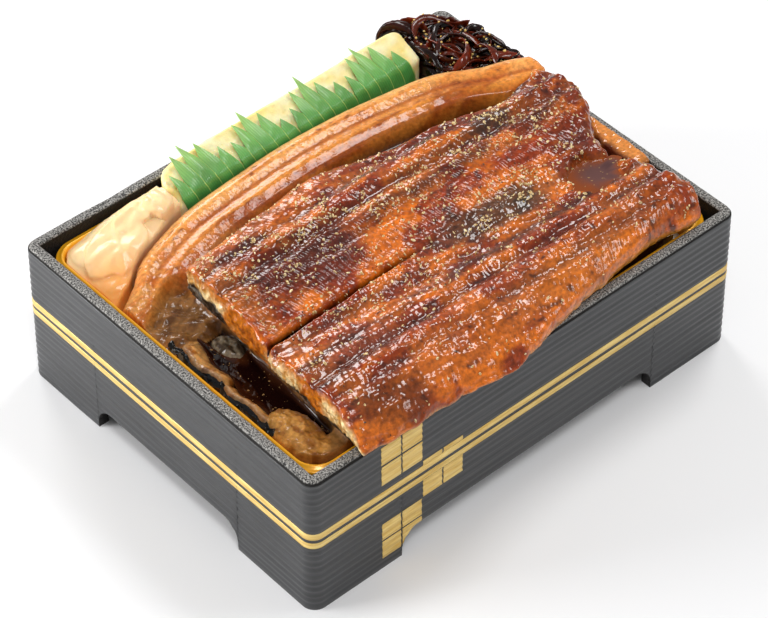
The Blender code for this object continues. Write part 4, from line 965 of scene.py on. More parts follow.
def make_pool(name, centre, level, ground, reach, meniscus, shallow, hues, material, node):
    """Sauce with a level top that creeps up what holds it, and a thin body under it.

    It gets deep from shallow on, a place along the box measured from its centre, and its hues are those of
    thin, deep and deepest sauce; in the basin the deeper hues also hold a painted reflection.
    """
    thin, deep, deepest = hues
    spokes, rings = POOL_SPOKES, POOL_RINGS
    angles = np.linspace(0, 2 * math.pi, spokes, endpoint=False)
    shares = np.linspace(0, 1, 240)
    x = centre[0] + np.cos(angles)[:, None] * shares[None, :] * reach[0]
    y = centre[1] + np.sin(angles)[:, None] * shares[None, :] * reach[1]
    # The shore is where the ground first rises above the level, smoothed round the pool
    dry = ground(x, y) > level
    limit = shares[np.where(dry.any(1), dry.argmax(1), len(shares) - 1)]
    for _ in range(3):
        limit = np.minimum(limit, (np.roll(limit, 1) + limit + np.roll(limit, -1)) / 3 + 0.01)
    limit = limit + 0.03
    verts, shore = [(centre[0], centre[1], level)], [POOL_MIDDLE]
    for ring in 1 - (1 - np.arange(1, rings + 1) / rings) ** 1.7:
        for angle, end in zip(angles, limit):
            away = np.array([math.cos(angle) * reach[0], math.sin(angle) * reach[1]])
            edge = (1 - ring) * end * np.linalg.norm(away)
            verts.append((centre[0] + away[0] * ring * end, centre[1] + away[1] * ring * end,
                          level + meniscus * math.exp(-edge / 1.5)))
            shore.append(edge)
    verts += [(vx, vy, level - POOL_BODY) for vx, vy, _ in verts[-spokes:]]
    shore += [0.0] * spokes
    faces = [[0, 1 + i, 1 + (i + 1) % spokes] for i in range(spokes)]
    faces += grid_faces(rings + 1, spokes, wrap=True, start=1)
    faces.append([1 + rings * spokes + i for i in range(spokes)])
    pool = finish_mesh(name, verts, faces, material)
    px, py, _ = np.array(verts).T
    ragged = 1.6 * rough_noise(px, py, 4.0, seed=351)
    depth = smooth(np.array(shore) + ragged, -0.5, 5.0)
    depth = depth * smooth(px - centre[0] + 2 * ragged, shallow, shallow + 9.0)
    colour = blend(thin, deep, depth)
    dark = smooth(px + 2 * ragged - centre[0], -2.0, 10.0) * smooth(np.array(shore), 2.0, 7.0)
    store(pool, "tint", blend(colour, deepest, 0.8 * dark))
    attach(pool, node)


# Side dishes

def refined_copy(node, name, material, voxel_mm, passes):
    """Copy of a solid with an even, fine mesh and softened edges."""
    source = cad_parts[node]
    obj = add_object(name, source.data.copy())
    bm = bmesh.new()
    bm.from_mesh(obj.data)
    bmesh.ops.remove_doubles(bm, verts=bm.verts, dist=1e-6)
    bm.to_mesh(obj.data)
    bm.free()
    remesh = obj.modifiers.new("even", "REMESH")
    remesh.mode = "VOXEL"
    remesh.voxel_size = voxel_mm * MM
    soften = obj.modifiers.new("soften", "SMOOTH")
    soften.iterations = passes
    soften.factor = 0.5
    mesh = bpy.data.meshes.new_from_object(obj.evaluated_get(bpy.context.evaluated_depsgraph_get()))
    obj.modifiers.clear()
    obj.data = mesh
    mesh.name = name
    mesh.materials.clear()
    mesh.materials.append(material)
    mesh.shade_smooth()
    return obj


def points_of(obj):
    """Points of a mesh in millimetres from the middle of the box, and their normals."""
    count = len(obj.data.vertices)
    places, normals = np.empty(count * 3), np.empty(count * 3)
    obj.data.vertices.foreach_get("co", places)
    obj.data.vertices.foreach_get("normal", normals)
    places = places.reshape(-1, 3) / MM
    places[:, 1] -= CENTRE_SHIFT_Y
    return places, normals.reshape(-1, 3)


def move_points(obj, places):
    """Put a mesh's points at places in millimetres from the middle of the box."""
    places = places.copy()
    places[:, 1] += CENTRE_SHIFT_Y
    obj.data.vertices.foreach_set("co", (places * MM).ravel())
    obj.data.update()


def make_egg(material):
    """Rolled egg: soft slab with small pits, low lumps and clouds of a warmer yellow."""
    egg = refined_copy("rolled_egg", "egg_slab", material, voxel_mm=0.75, passes=3)
    places, normals = points_of(egg)
    x, y, z = places.T
    pits = smooth(rough_noise(x, y, 2.1, z=z, octaves=2, seed=401), 0.42, 0.75)
    lumps = rough_noise(x, y, (7.0, 5.0), z=z, seed=403)
    places += normals * (0.35 * lumps - 0.55 * pits)[:, None]
    move_points(egg, places)
    colour = blend("#fce596", "#fdf2c0", smooth(lumps, -0.4, 0.5))
    colour = blend(colour, "#f6d067", 0.45 * pits)
    clouds = rough_noise(x, y, 9.0, z=z, octaves=2, seed=407)
    colour = blend(colour, "#f9d873", 0.4 * smooth(clouds, 0.1, 0.6))
    store(egg, "tint", colour)
    store(egg, "wet", np.full(len(x), 0.1))
    attach(egg, "rolled_egg")


def make_ginger(material):
    """Pickled ginger: a soft mound of thin slices that overlap, each ending in a low rounded step."""
    mound = refined_copy("ginger", "ginger_mound", material, voxel_mm=0.5, passes=3)
    places, normals = points_of(mound)
    x, y, z = places.T
    wobble = 1.3 * rough_noise(x, y, 6.0, octaves=2, seed=503)
    height, edge = np.zeros(len(x)), np.zeros(len(x))
    for (cx, cy), (long, short), turn, lift in GINGER_SLICES:
        dx, dy = x - cx, y - cy
        a = (dx * math.cos(turn) + dy * math.sin(turn)) / long
        b = (dy * math.cos(turn) - dx * math.sin(turn)) / short
        inside = 1 - np.hypot(a, b) + 0.09 * wobble
        raised = lift * smooth(inside, 0.0, 0.07) * (0.75 + 0.25 * smooth(inside, 0.0, 0.6))
        # Each slice lies over those before it, and its outline is kept as the edge
        edge = np.where(raised > height, bump(inside + 0.02, 0.06), edge)
        edge = np.maximum(edge * (raised < lift * 0.9), 0)
        height = np.maximum(height, raised)
    upward = smooth(normals[:, 2], 0.1, 0.5)
    places[:, 2] += upward * (1.2 + 0.20 * height + 0.2 * rough_noise(x, y, 9.0, octaves=2, seed=501))
    # Its upper part bulges out past the solid, as in the photograph
    outward = smooth(z, 50.0, 57.0)
    places[:, 1] += 3.2 * outward * smooth(y, 48.0, 65.0)
    places[:, 0] -= 1.6 * outward * smooth(-x, 76.0, 89.0)
    move_points(mound, places)
    low = smooth(-x, 60.0, 88.0) * smooth(-y, -62.0, -42.0)
    colour = blend("#fbd8a4", "#f09e48", 0.9 * low)
    veins = smooth(rough_noise(x + 0.4 * y, y, (16.0, 2.6), seed=509), 0.0, 0.7)
    colour = blend(colour, "#f5be82", 0.22 * veins)
    colour = blend(colour, "#f2b070", 0.2 * edge)
    colour = blend(colour, "#ec9440", 0.85 * smooth(-z, -58.5, -54.5))
    store(mound, "tint", colour)
    store(mound, "wet", np.full(len(x), 0.6))
    attach(mound, "ginger")


def leaf_columns():
    """Columns of the divider: place along it, length of its blade past the fold, and share across a blade."""
    width = (LEAF_X[1] - LEAF_X[0]) / LEAF_CLUSTERS
    blade = width / len(LEAF_BLADES[0])
    columns = []
    for cluster, shares in enumerate(LEAF_BLADES):
        for index, share in enumerate(shares):
            x = LEAF_X[0] + cluster * width + index * blade
            if index == 0:
                columns += [(x, LEAF_SLIT, 0.0), (x + blade * 0.08, 0.3, 0.04)]
            else:
                notch = LEAF_NOTCHES[index - 1] * min(share, shares[index - 1]) * LEAF_BLADE_LENGTH
                columns += [(x - blade * 0.001, notch, 1.0), (x, notch, 0.0)]
            columns.append((x + blade * 0.5, LEAF_BLADE_LENGTH * share, 0.5))
        columns.append((x + blade * 0.94, 0.3, 0.98))
    columns.append((LEAF_X[1], LEAF_SLIT, 1.0))
    return np.array(columns)


def make_leaf(material):
    """Green film cut as four clusters of pointed blades, bent over the egg."""
    columns = leaf_columns()
    xs = np.unique(np.r_[columns[:, 0], np.linspace(LEAF_X[0], LEAF_X[1], 420)])
    length = np.interp(xs, columns[:, 0], columns[:, 1])[:, None]
    across = np.interp(xs, columns[:, 0], columns[:, 2])[:, None]
    foot_y, foot_z = LEAF_FOOT
    crease = (along(EGG_TOP, xs) - EGG_SLOPE * (EGG_BACK_Y - foot_y) + 1.1 - foot_z)[:, None]
    shares = np.r_[np.linspace(0, 1, 16)[:-1], 1 + np.linspace(0, 1, 30)]
    below, above = np.minimum(shares, 1)[None, :], np.maximum(shares - 1, 0)[None, :]
    x = xs[:, None] + 0 * below
    run = (crease + np.minimum(length, 0)) * below + np.maximum(length, 0.3) * above
    past = run - crease
    over = (past + np.sqrt(past ** 2 + 5.0)) / 2
    ridge = np.sin(math.pi * across)
    lift = smooth(over, 1.0, 5.0)
    wave = ((0.35 * np.sin(0.55 * x) + 0.55 * ridge) * lift
            + smooth(over, 10.0, 18.0) * np.sin(0.31 * x + 1.0))
    px = x + LEAF_LEAN[0] * over - 0.32 * np.clip(past, -8.0, 0.0)
    py = foot_y + 0.2 * np.sin(0.8 * x) + LEAF_LEAN[1] * over
    pz = foot_z + run - over + LEAF_LEAN[2] * over + wave
    leaf = finish_mesh("leaf_divider_film", np.stack([px, py, pz], -1), grid_faces(*x.shape), material)
    store(leaf, "reach", np.clip((past + 6.0) / (LEAF_BLADE_LENGTH + 6.0), 0, 1).reshape(-1))
    store(leaf, "across", (across + 0 * over).reshape(-1))
    thick = leaf.modifiers.new("thickness", "SOLIDIFY")
    thick.thickness = LEAF_THICKNESS * MM
    thick.offset = 0.0
    attach(leaf, "leaf_divider")


def core_height(x, y):
    """Height of the dark core that carries the strips."""
    reach = ((x - KELP_CENTRE[0]) / KELP_RADII[0]) ** 2 + ((y - KELP_CENTRE[1]) / KELP_RADII[1]) ** 2
    return mix(60.8, KELP_TOP - 2.5, np.maximum(0.0, 1 - reach))


def sweep(path, half_width, half_thick, twist, sides=8):
    """Points and faces of a flat rounded strip along a path."""
    path = np.array(path, float)
    tangent = np.gradient(path, axis=0)
    tangent /= np.linalg.norm(tangent, axis=1)[:, None]
    across = np.cross(tangent, (0.0, 0.0, 1.0))
    across /= np.linalg.norm(across, axis=1)[:, None] + 1e-9
    upward = np.cross(across, tangent)
    verts = []
    count = len(path)
    for i in range(count):
        share = i / (count - 1)
        taper = min(1.0, 0.25 + 6 * min(share, 1 - share))
        turn = twist[0] + twist[1] * share
        side = across[i] * math.cos(turn) + upward[i] * math.sin(turn)
        top = -across[i] * math.sin(turn) + upward[i] * math.cos(turn)
        for k in range(sides):
            angle = 2 * math.pi * k / sides
            verts.append(path[i] + taper * (half_width * math.cos(angle) * side
                                            + half_thick * math.sin(angle) * top))
    faces = grid_faces(count, sides, wrap=True)
    faces += [list(range(sides)), [(count - 1) * sides + k for k in range(sides)]]
    return np.array(verts), faces


def kelp_limit(x, y):
    """Place pushed back inside the heap's outline, and whether it was outside."""
    low_y = float(along(LOWER_BACK_EDGE, np.array(min(x, 95.0)))) + 2.6
    inside_x = min(max(x, EGG_X[1] + 2.2), KELP_FAR[0])
    inside_y = max(min(y, KELP_FAR[1], KELP_CORNER - inside_x), low_y)
    return inside_x, inside_y, abs(inside_x - x) + abs(inside_y - y) > 1e-6


def kelp_path(rng, index):
    """Wandering line of one strip over the heap, arched between its ends."""
    heading = rng.uniform(0, 2 * math.pi)
    x, y = KELP_CENTRE[0] + rng.uniform(-9.5, 12.0), KELP_CENTRE[1] + rng.uniform(-26.0, 13.0)
    bend, length, layer = rng.uniform(-0.15, 0.15), rng.uniform(13.0, 28.0), rng.uniform(0.0, 1.0) ** 1.4
    arch = rng.uniform(0.3, 2.8)
    path = []
    for i in range(KELP_STEPS):
        step = length / KELP_STEPS
        heading += bend * step * (1 + 0.6 * math.sin(0.5 * i + index))
        x, y, outside = kelp_limit(x + step * math.cos(heading), y + step * math.sin(heading))
        if outside:    # turns back into the heap
            heading += 0.55
        rim = float(smooth(np.array(max(x - 91.0, y - 68.5)), 0.0, 2.5))
        ground = max(float(core_height(x, y)), mix(0.0, BOX_HEIGHT + 0.9, rim))
        z = ground + 0.4 + 2.6 * layer + arch * math.sin(math.pi * i / (KELP_STEPS - 1))
        path.append((x, y, min(z, 66.3 + 0.58 * (KELP_CORNER - x - y) + 1.5)))
    path = np.array(path)
    for _ in range(3):
        path[1:-1] = (path[:-2] + 2 * path[1:-1] + path[2:]) / 4
    return path


def make_kelp(material):
    """Heap of simmered kelp: flat curling strips over a dark core, some hanging over the box's rim."""
    rng = random.Random(29)
    core = refined_copy("simmered_kelp", "kelp_core", material, voxel_mm=0.9, passes=10)
    places, _ = points_of(core)
    places[:, 2] -= np.where(places[:, 2] > 58.0, 1.4, 0.0)
    move_points(core, places)
    store(core, "tint", np.tile(linear("#160705"), (len(places), 1)))
    store(core, "wet", np.full(len(places), 0.5))
    attach(core, "simmered_kelp")
    strips = [(kelp_path(rng, index), rng.uniform(1.1, 2.0), rng.uniform(0.35, 0.6), rng.random() ** 3.0)
              for index in range(KELP_STRIPS)]
    for knots, width, thick, red in KELP_LOOPS:
        table = np.array(knots)
        at = np.linspace(0, len(table) - 1, KELP_STEPS)
        path = [along(tuple(zip(range(len(table)), table[:, axis])), at) for axis in range(3)]
        strips.append((np.stack(path, -1), width, thick, red))
    verts, faces, tints = [], [], []
    start = 0
    for path, width, thick, red in strips:
        points, quads = sweep(path, width, thick, (rng.uniform(-1.3, 1.3), rng.uniform(-2.4, 2.4)))
        x, y, z = points.T
        points += (0.22 * rough_noise(x, y, 1.8, z=z, octaves=2, seed=601))[:, None]
        verts.append(points)
        faces += [[start + v for v in quad] for quad in quads]
        tone = blend("#180704", "#74260c", np.full(len(points), red))
        cloud = smooth(rough_noise(x, y, 4.0, z=z, octaves=2, seed=607), -0.5, 0.6)
        tints.append(blend(tone, 0.35 * tone, cloud * (1 - 0.6 * red)))
        start += len(points)
    heap = finish_mesh("kelp_strips", np.concatenate(verts), faces, material)
    store(heap, "tint", np.concatenate(tints))
    store(heap, "wet", np.full(start, 0.6))
    store(heap, "grains", np.ones(start))
    attach(heap)
    return heap


def scatter(name, surface, mask, per_square_mm, size_mm, form, seed, material):
    """Small grains over a surface, more of them where the mask is higher, as one plain mesh."""
    tree = bpy.data.node_groups.new(name, "GeometryNodeTree")
    tree.interface.new_socket("Geometry", in_out="INPUT", socket_type="NodeSocketGeometry")
    tree.interface.new_socket("Geometry", in_out="OUTPUT", socket_type="NodeSocketGeometry")
    wanted = {"Density": ("NodeSocketFloat", per_square_mm / MM ** 2),
              "Grain Size": ("NodeSocketFloat", size_mm * MM),
              "Seed": ("NodeSocketInt", seed)}
    sockets = {label: tree.interface.new_socket(label, in_out="INPUT", socket_type=kind)
               for label, (kind, _) in wanted.items()}
    start = add_node(tree, "NodeGroupInput").outputs
    share = add_node(tree, "GeometryNodeInputNamedAttribute", {"Name": mask},
                     data_type="FLOAT").outputs["Attribute"]
    density = add_node(tree, "ShaderNodeMath", {0: share, 1: start["Density"]},
                       operation="MULTIPLY").outputs[0]
    points = add_node(tree, "GeometryNodeDistributePointsOnFaces", {
        "Mesh": start["Geometry"], "Density": density, "Seed": start["Seed"]})
    grain = add_node(tree, "GeometryNodeMeshIcoSphere", {"Radius": start["Grain Size"], "Subdivisions": 1})
    shaped = add_node(tree, "GeometryNodeTransform", {"Geometry": grain.outputs["Mesh"], "Scale": form})
    turn = add_node(tree, "FunctionNodeRandomValue", {0: (0.0, 0.0, 0.0), 1: (6.28, 6.28, 6.28), "Seed": 3},
                    data_type="FLOAT_VECTOR")
    size = add_node(tree, "FunctionNodeRandomValue", {"Min": 0.15, "Max": 1.4, "Seed": 5}, data_type="FLOAT")
    placed = add_node(tree, "GeometryNodeInstanceOnPoints", {
        "Points": points.outputs["Points"], "Instance": shaped.outputs[0],
        "Rotation": turn.outputs[0], "Scale": size.outputs[1]})
    real = add_node(tree, "GeometryNodeRealizeInstances", {"Geometry": placed.outputs[0]})
    painted = add_node(tree, "GeometryNodeSetMaterial", {"Geometry": real.outputs[0], "Material": material})
    add_node(tree, "NodeGroupOutput", {"Geometry": painted.outputs[0]})
    carrier = add_object(name + "_carrier", surface.data)
    modifier = carrier.modifiers.new("grains", "NODES")
    modifier.node_group = tree
    for label, (_, value) in wanted.items():
        modifier[sockets[label].identifier] = value
    mesh = bpy.data.meshes.new_from_object(carrier.evaluated_get(bpy.context.evaluated_depsgraph_get()))
    bpy.data.objects.remove(carrier)
    mesh.name = name
    for layer in [a for a in mesh.attributes if a.name in ("tint", "wet", "pepper", "grains")]:
        mesh.attributes.remove(layer)
    attach(add_object(name, mesh))


# Materials

def film_material():
    """Black printed film over foam, pressed with a wood grain: satin, with paler worn ridge tops."""
    material, tree, shader, place = new_material("pressed black film", Roughness=0.5, IOR=1.5,
                                                 Coat_Weight=0.35, Coat_Roughness=0.3)
    stretch = add_node(tree, "ShaderNodeMapping", {"Vector": place, "Scale": (0.05, 0.05, 1.0)}).outputs[0]
    streak = add_node(tree, "ShaderNodeTexNoise", {"Vector": stretch, "Scale": cells_for(1.6), "Detail": 6.0,
                                                   "Roughness": 0.65}).outputs["Fac"]
    ramp = add_node(tree, "ShaderNodeValToRGB", {"Fac": streak})
    ramp.color_ramp.elements[0].color = shade("#1b1c1e")
    ramp.color_ramp.elements[0].position = 0.35
    ramp.color_ramp.elements[1].color = shade("#303133")
    ramp.color_ramp.elements[1].position = 0.7
    tree.links.new(ramp.outputs[0], shader.inputs["Base Color"])
    relief = add_node(tree, "ShaderNodeBump", {"Height": streak, "Distance": 0.25 * MM, "Strength": 0.7})
    tree.links.new(relief.outputs[0], shader.inputs["Normal"])
    return material


def foam_material():
    """Cut polystyrene foam with a torn black skin: dull, pale specks on black, darker under the cut edge."""
    material, tree, shader, place = new_material("cut black foam", Roughness=0.75, IOR=1.45)
    beads = add_node(tree, "ShaderNodeTexVoronoi", {
        "Vector": place, "Scale": cells_for(1.1), "Randomness": 1.0})
    specks = add_node(tree, "ShaderNodeTexNoise", {
        "Vector": place, "Scale": cells_for(0.6), "Detail": 3.0, "Roughness": 0.7}).outputs["Fac"]
    ramp = add_node(tree, "ShaderNodeValToRGB", {"Fac": specks})
    ramp.color_ramp.elements[0].color = shade("#1c1b1a")
    ramp.color_ramp.elements[0].position = 0.42
    ramp.color_ramp.elements[1].color = shade("#b4b1ac")
    ramp.color_ramp.elements[1].position = 0.62
    depth = add_node(tree, "ShaderNodeSeparateXYZ", {0: place}).outputs["Z"]
    edge = add_node(tree, "ShaderNodeMapRange", {"Value": depth, "From Min": (BOX_HEIGHT - 0.9) * MM,
                                                 "From Max": (BOX_HEIGHT - 0.5) * MM})
    colour = add_node(tree, "ShaderNodeMix", {"Factor": edge.outputs[0], "A": shade("#151210"),
                                              "B": ramp.outputs[0]}, data_type="RGBA").outputs["Result"]
    tree.links.new(colour, shader.inputs["Base Color"])
    cells = add_node(tree, "ShaderNodeBump", {"Height": beads.outputs["Distance"], "Distance": 0.35 * MM,
                                              "Strength": 0.8})
    grit = add_node(tree, "ShaderNodeBump", {"Height": specks, "Distance": 0.25 * MM, "Strength": 0.9,
                                             "Normal": cells.outputs[0]})
    tree.links.new(grit.outputs[0], shader.inputs["Normal"])
    return material


def gold_ink_material():
    """Gold ink printed on the film: pale yellow, slightly metallic, thin on the ridges."""
    material, tree, shader, place = new_material("gold printing ink", Metallic=0.25, Roughness=0.42)
    stretch = add_node(tree, "ShaderNodeMapping", {"Vector": place, "Scale": (0.08, 0.08, 1.0)}).outputs[0]
    streak = add_node(tree, "ShaderNodeTexNoise", {
        "Vector": stretch, "Scale": cells_for(0.9), "Detail": 4.0}).outputs[0]
    ramp = add_node(tree, "ShaderNodeValToRGB", {"Fac": streak})
    ramp.color_ramp.elements[0].color = shade("#cfa54a")
    ramp.color_ramp.elements[0].position = 0.3
    ramp.color_ramp.elements[1].color = shade("#edd083")
    ramp.color_ramp.elements[1].position = 0.7
    tree.links.new(ramp.outputs[0], shader.inputs["Base Color"])
    return material


def tray_material():
    """Thin golden plastic, vacuum formed: glossy, drifting between two golds, with a soft waviness."""
    material, tree, shader, place = new_material("golden formed plastic", Roughness=0.28, Metallic=0.15,
                                                 IOR=1.49, Coat_Weight=0.4, Coat_Roughness=0.08)
    wave = add_node(tree, "ShaderNodeTexNoise", {
        "Vector": place, "Scale": cells_for(14.0), "Detail": 2.0}).outputs[0]
    ramp = add_node(tree, "ShaderNodeValToRGB", {"Fac": wave})
    ramp.color_ramp.elements[0].color = shade("#fba40a")
    ramp.color_ramp.elements[1].color = shade("#ffbc20")
    tree.links.new(ramp.outputs[0], shader.inputs["Base Color"])
    soft = add_node(tree, "ShaderNodeBump", {"Height": wave, "Distance": 0.4 * MM, "Strength": 0.3})
    tree.links.new(soft.outputs[0], shader.inputs["Normal"])
    return material


def sauce_material(name):
    """Soy sauce: nearly black brown, browner where it is thin, mirror smooth, with specks of spice."""
    material, tree, shader, place = new_material(name, Roughness=0.03, IOR=1.42)
    tint = add_node(tree, "ShaderNodeAttribute", attribute_name="tint").outputs["Color"]
    specks = add_node(tree, "ShaderNodeTexNoise", {
        "Vector": place, "Scale": cells_for(1.1), "Detail": 1.0}).outputs[0]
    speck = add_node(tree, "ShaderNodeMapRange", {
        "Value": specks, "From Min": 0.70, "From Max": 0.74}).outputs[0]
    colour = add_node(tree, "ShaderNodeMix", {"Factor": speck, "A": tint, "B": shade("#b08a5a")},
                      data_type="RGBA").outputs["Result"]
    tree.links.new(colour, shader.inputs["Base Color"])
    return material


def leaf_material():
    """Green film printed as a leaf: satin, yellower tips, fine veins and a pale line along each blade."""
    material, tree, shader, place = new_material("green leaf film", Roughness=0.30, IOR=1.49,
                                                 Subsurface_Weight=0.1, Subsurface_Scale=1.0 * MM)
    across = add_node(tree, "ShaderNodeAttribute", attribute_name="across").outputs["Fac"]
    reach = add_node(tree, "ShaderNodeAttribute", attribute_name="reach").outputs["Fac"]
    cloud = add_node(tree, "ShaderNodeTexNoise", {
        "Vector": place, "Scale": cells_for(9.0), "Detail": 3.0}).outputs[0]
    level = add_node(tree, "ShaderNodeMapRange", {
        "Value": reach, "From Min": 0.15, "From Max": 1.0}).outputs[0]
    body = add_node(tree, "ShaderNodeMix", {"Factor": level, "A": shade("#54a452"),
                                            "B": shade("#a2cc70")}, data_type="RGBA").outputs["Result"]
    mottled = add_node(tree, "ShaderNodeMapRange", {
        "Value": cloud, "From Min": 0.3, "From Max": 0.7, "To Min": 0.8, "To Max": 1.12}).outputs[0]
    leafy = add_node(tree, "ShaderNodeVectorMath", {0: body, "Scale": mottled}, operation="SCALE").outputs[0]
    flat = add_node(tree, "ShaderNodeCombineXYZ", {0: across}).outputs[0]
    veins = add_node(tree, "ShaderNodeTexWave", {"Vector": flat, "Scale": 1.9},
                     wave_type="BANDS", bands_direction="X", wave_profile="SIN").outputs["Fac"]
    veined = add_node(tree, "ShaderNodeMapRange", {
        "Value": veins, "From Min": 0.6, "From Max": 1.0, "To Min": 0.0, "To Max": 0.28}).outputs[0]
    colour = add_node(tree, "ShaderNodeMix", {"Factor": veined, "A": leafy, "B": shade("#38803e")},
                      data_type="RGBA").outputs["Result"]
    fold = add_node(tree, "ShaderNodeMapRange", {
        "Value": across, "From Min": 0.93, "From Max": 0.99}).outputs[0]
    edged = add_node(tree, "ShaderNodeMix", {"Factor": fold, "A": colour, "B": shade("#b9d873")},
                     data_type="RGBA").outputs["Result"]
    tree.links.new(edged, shader.inputs["Base Color"])
    relief = add_node(tree, "ShaderNodeBump", {"Height": veins, "Distance": 0.10 * MM, "Strength": 0.4})
    tree.links.new(relief.outputs[0], shader.inputs["Normal"])
    return material


def plain_grain_material(name, dark, light, size_mm, roughness):
    """Small ground or rolled grains: two tones of one spice."""
    material, tree, shader, place = new_material(name, Roughness=roughness)
    tone = add_node(tree, "ShaderNodeTexNoise", {
        "Vector": place, "Scale": cells_for(size_mm), "Detail": 1.0}).outputs[0]
    ramp = add_node(tree, "ShaderNodeValToRGB", {"Fac": tone})
    ramp.color_ramp.elements[0].color = shade(dark)
    ramp.color_ramp.elements[0].position = 0.4
    ramp.color_ramp.elements[1].color = shade(light)
    ramp.color_ramp.elements[1].position = 0.62
    tree.links.new(ramp.outputs[0], shader.inputs["Base Color"])
    return material


def floor_material():
    """Matte white sweep."""
    material, tree, shader, place = new_material("white paper sweep", Roughness=0.9)
    tone = add_node(tree, "ShaderNodeTexNoise", {"Vector": place, "Scale": cells_for(400.0)}).outputs[0]
    ramp = add_node(tree, "ShaderNodeValToRGB", {"Fac": tone})
    ramp.color_ramp.elements[0].color = shade("#f6f6f7")
    ramp.color_ramp.elements[1].color = shade("#fafafb")
    tree.links.new(ramp.outputs[0], shader.inputs["Base Color"])
    return material


# Camera, lights and floor

def make_camera():
    """Camera where the photograph was taken from."""
    elevation, azimuth = math.radians(CAMERA_ELEVATION), math.radians(CAMERA_AZIMUTH)
    back = Vector((math.sin(azimuth) * math.cos(elevation), -math.cos(azimuth) * math.cos(elevation),
                   math.sin(elevation)))
    data = bpy.data.cameras.new("camera")
    data.sensor_width = 36.0
    data.sensor_fit = "HORIZONTAL"
    data.lens = FOCAL_PX / IMAGE_WIDTH * data.sensor_width
    data.clip_start = 0.02
    camera = add_object("camera", data)
    aim = Vector(CAMERA_AIM) + Vector((0.0, CENTRE_SHIFT_Y, 0.0))
    camera.location = (aim + back * CAMERA_DISTANCE) * MM
    camera.rotation_mode = "QUATERNION"
    camera.rotation_quaternion = back.to_track_quat("Z", "Y")
    bpy.context.scene.camera = camera


def add_softbox(name, direction, distance, size, power):
    """Square soft light that looks at the object from a direction."""
    data = bpy.data.lights.new(name, "AREA")
    data.shape = "SQUARE"
    data.size = size
    data.energy = power
    light = add_object(name, data)
    away = Vector(direction).normalized()
    light.location = away * distance + Vector((0.0, 0.0, SOFTBOX_AIM_Z))
    light.rotation_mode = "QUATERNION"
    light.rotation_quaternion = away.to_track_quat("Z", "Y")


def make_stage():
    """White floor, an even grey world and the soft lights."""
    half = FLOOR_HALF
    mesh = bpy.data.meshes.new("floor")
    corners = [(-half, -half, 0), (half, -half, 0), (half, half, 0), (-half, half, 0)]
    mesh.from_pydata(corners, [], [(0, 1, 2, 3)])
    mesh.materials.append(floor_material())
    add_object("floor", mesh)
    world = bpy.data.worlds.new("studio")
    world.use_nodes = True
    background = world.node_tree.nodes["Background"]
    background.inputs["Color"].default_value = (1.0, 1.0, 1.0, 1.0)
    background.inputs["Strength"].default_value = WORLD_STRENGTH
    bpy.context.scene.world = world
    for name, settings in SOFTBOXES.items():
        add_softbox(name, *settings)
    bpy.context.scene.view_settings.view_transform = "Standard"


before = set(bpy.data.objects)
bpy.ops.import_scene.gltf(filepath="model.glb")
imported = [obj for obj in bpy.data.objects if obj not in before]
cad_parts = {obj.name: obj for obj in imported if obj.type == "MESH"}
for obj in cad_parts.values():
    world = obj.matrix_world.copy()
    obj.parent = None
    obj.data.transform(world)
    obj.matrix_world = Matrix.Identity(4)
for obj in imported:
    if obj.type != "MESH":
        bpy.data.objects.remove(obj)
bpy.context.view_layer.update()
# Only this script's own camera and lights are kept
for stray in [o for o in bpy.data.objects if o.type in ("CAMERA", "LIGHT")]:
    bpy.data.objects.remove(stray)
make_camera()
make_stage()

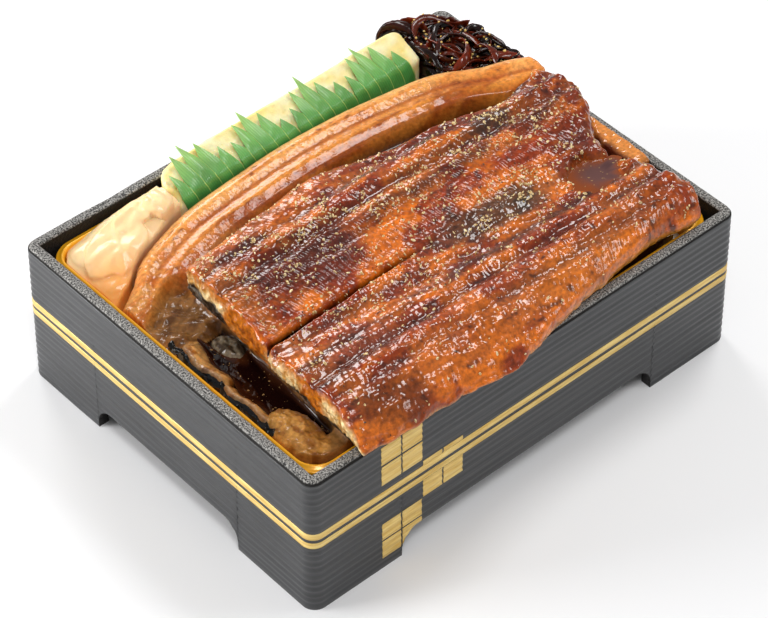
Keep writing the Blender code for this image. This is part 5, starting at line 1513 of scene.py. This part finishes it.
eel_glaze = food_material("grilled eel under sauce glaze", roughness=0.46, coat=0.78, subsurface=0.05,
                          grain_mm=1.6, grain_depth=0.20, fine_mm=0.8, fine_depth=0.12, mottle=0.22)
eel_pale = food_material("pale grilled eel", roughness=0.42, coat=0.5, subsurface=0.15,
                         grain_mm=1.4, grain_depth=0.16, fine_mm=0.6, fine_depth=0.10, mottle=0.16)
egg_soft = food_material("rolled egg", roughness=0.60, coat=0.05, subsurface=0.35,
                         grain_mm=1.8, grain_depth=0.15, fine_mm=0.6, fine_depth=0.10, mottle=0.04)
ginger_wet = food_material("pickled ginger", roughness=0.40, coat=0.25, subsurface=0.4,
                           grain_mm=3.0, grain_depth=0.08, fine_mm=0.8, fine_depth=0.02, mottle=0.02)
kelp_wet = food_material("simmered kelp", roughness=0.30, coat=0.5, subsurface=0.20,
                         grain_mm=1.2, grain_depth=0.12, fine_mm=0.5, fine_depth=0.06, mottle=0.2)
skin_black = food_material("grilled eel skin", roughness=0.30, coat=0.5, subsurface=0.0,
                           grain_mm=1.2, grain_depth=0.12, fine_mm=0.5, fine_depth=0.06, mottle=0.2)
make_box(film_material(), foam_material())
make_print(gold_ink_material())
make_tray(tray_material())
make_lower_eel(eel_pale)
upper = make_upper_eel(eel_glaze)
make_black_skin(skin_black)
make_pool("front_sauce", POOL_CENTRE, POOL_LEVEL, lambda x, y: lower_form(x, y)["z"], reach=POOL_REACH,
          meniscus=0.8, shallow=-40.0, hues=("#4a2410", "#1c0806", "#160605"),
          material=sauce_material("reduced soy sauce"), node="sauce_pool")
# The basin's deep and deepest hues are greyish mauve: a painted reflection over dark sauce
make_pool("basin_sauce", VALLEY_CENTRE, VALLEY_LEVEL, lambda x, y: upper_form(x, y)[0],
          reach=VALLEY_POOL_REACH, meniscus=0.05, shallow=-9.0, hues=("#8c441a", "#664440", "#4c3032"),
          material=sauce_material("thin soy sauce with painted reflection"), node="valley_sauce")
make_egg(egg_soft)
make_ginger(ginger_wet)
make_leaf(leaf_material())
kelp = make_kelp(kelp_wet)
scatter("pepper_pale", upper, "pepper", per_square_mm=0.62, size_mm=0.75, form=(1.0, 0.65, 0.3), seed=11,
        material=plain_grain_material("ground pepper husk", "#c49c56", "#f8e8bc", size_mm=0.5, roughness=0.6))
scatter("pepper_dark", upper, "pepper", per_square_mm=0.26, size_mm=0.42, form=(1.0, 0.6, 0.35), seed=17,
        material=plain_grain_material("dark pepper husk", "#2a1c10", "#4f4230", size_mm=0.5, roughness=0.6))
scatter("kelp_grains", kelp, "grains", per_square_mm=0.035, size_mm=0.5, form=(1.0, 1.0, 1.0), seed=23,
        material=plain_grain_material("small yellow grains", "#d8a544", "#f7dc8e", size_mm=0.5,
                                      roughness=0.35))
# The rice is hidden by the food, so its solid is kept as it is
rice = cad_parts["rice_bed"]
rice.data.materials.clear()
rice.data.materials.append(plain_grain_material("cooked rice", "#d9d3c4", "#f6f3ea", size_mm=2.6,
                                                roughness=0.45))
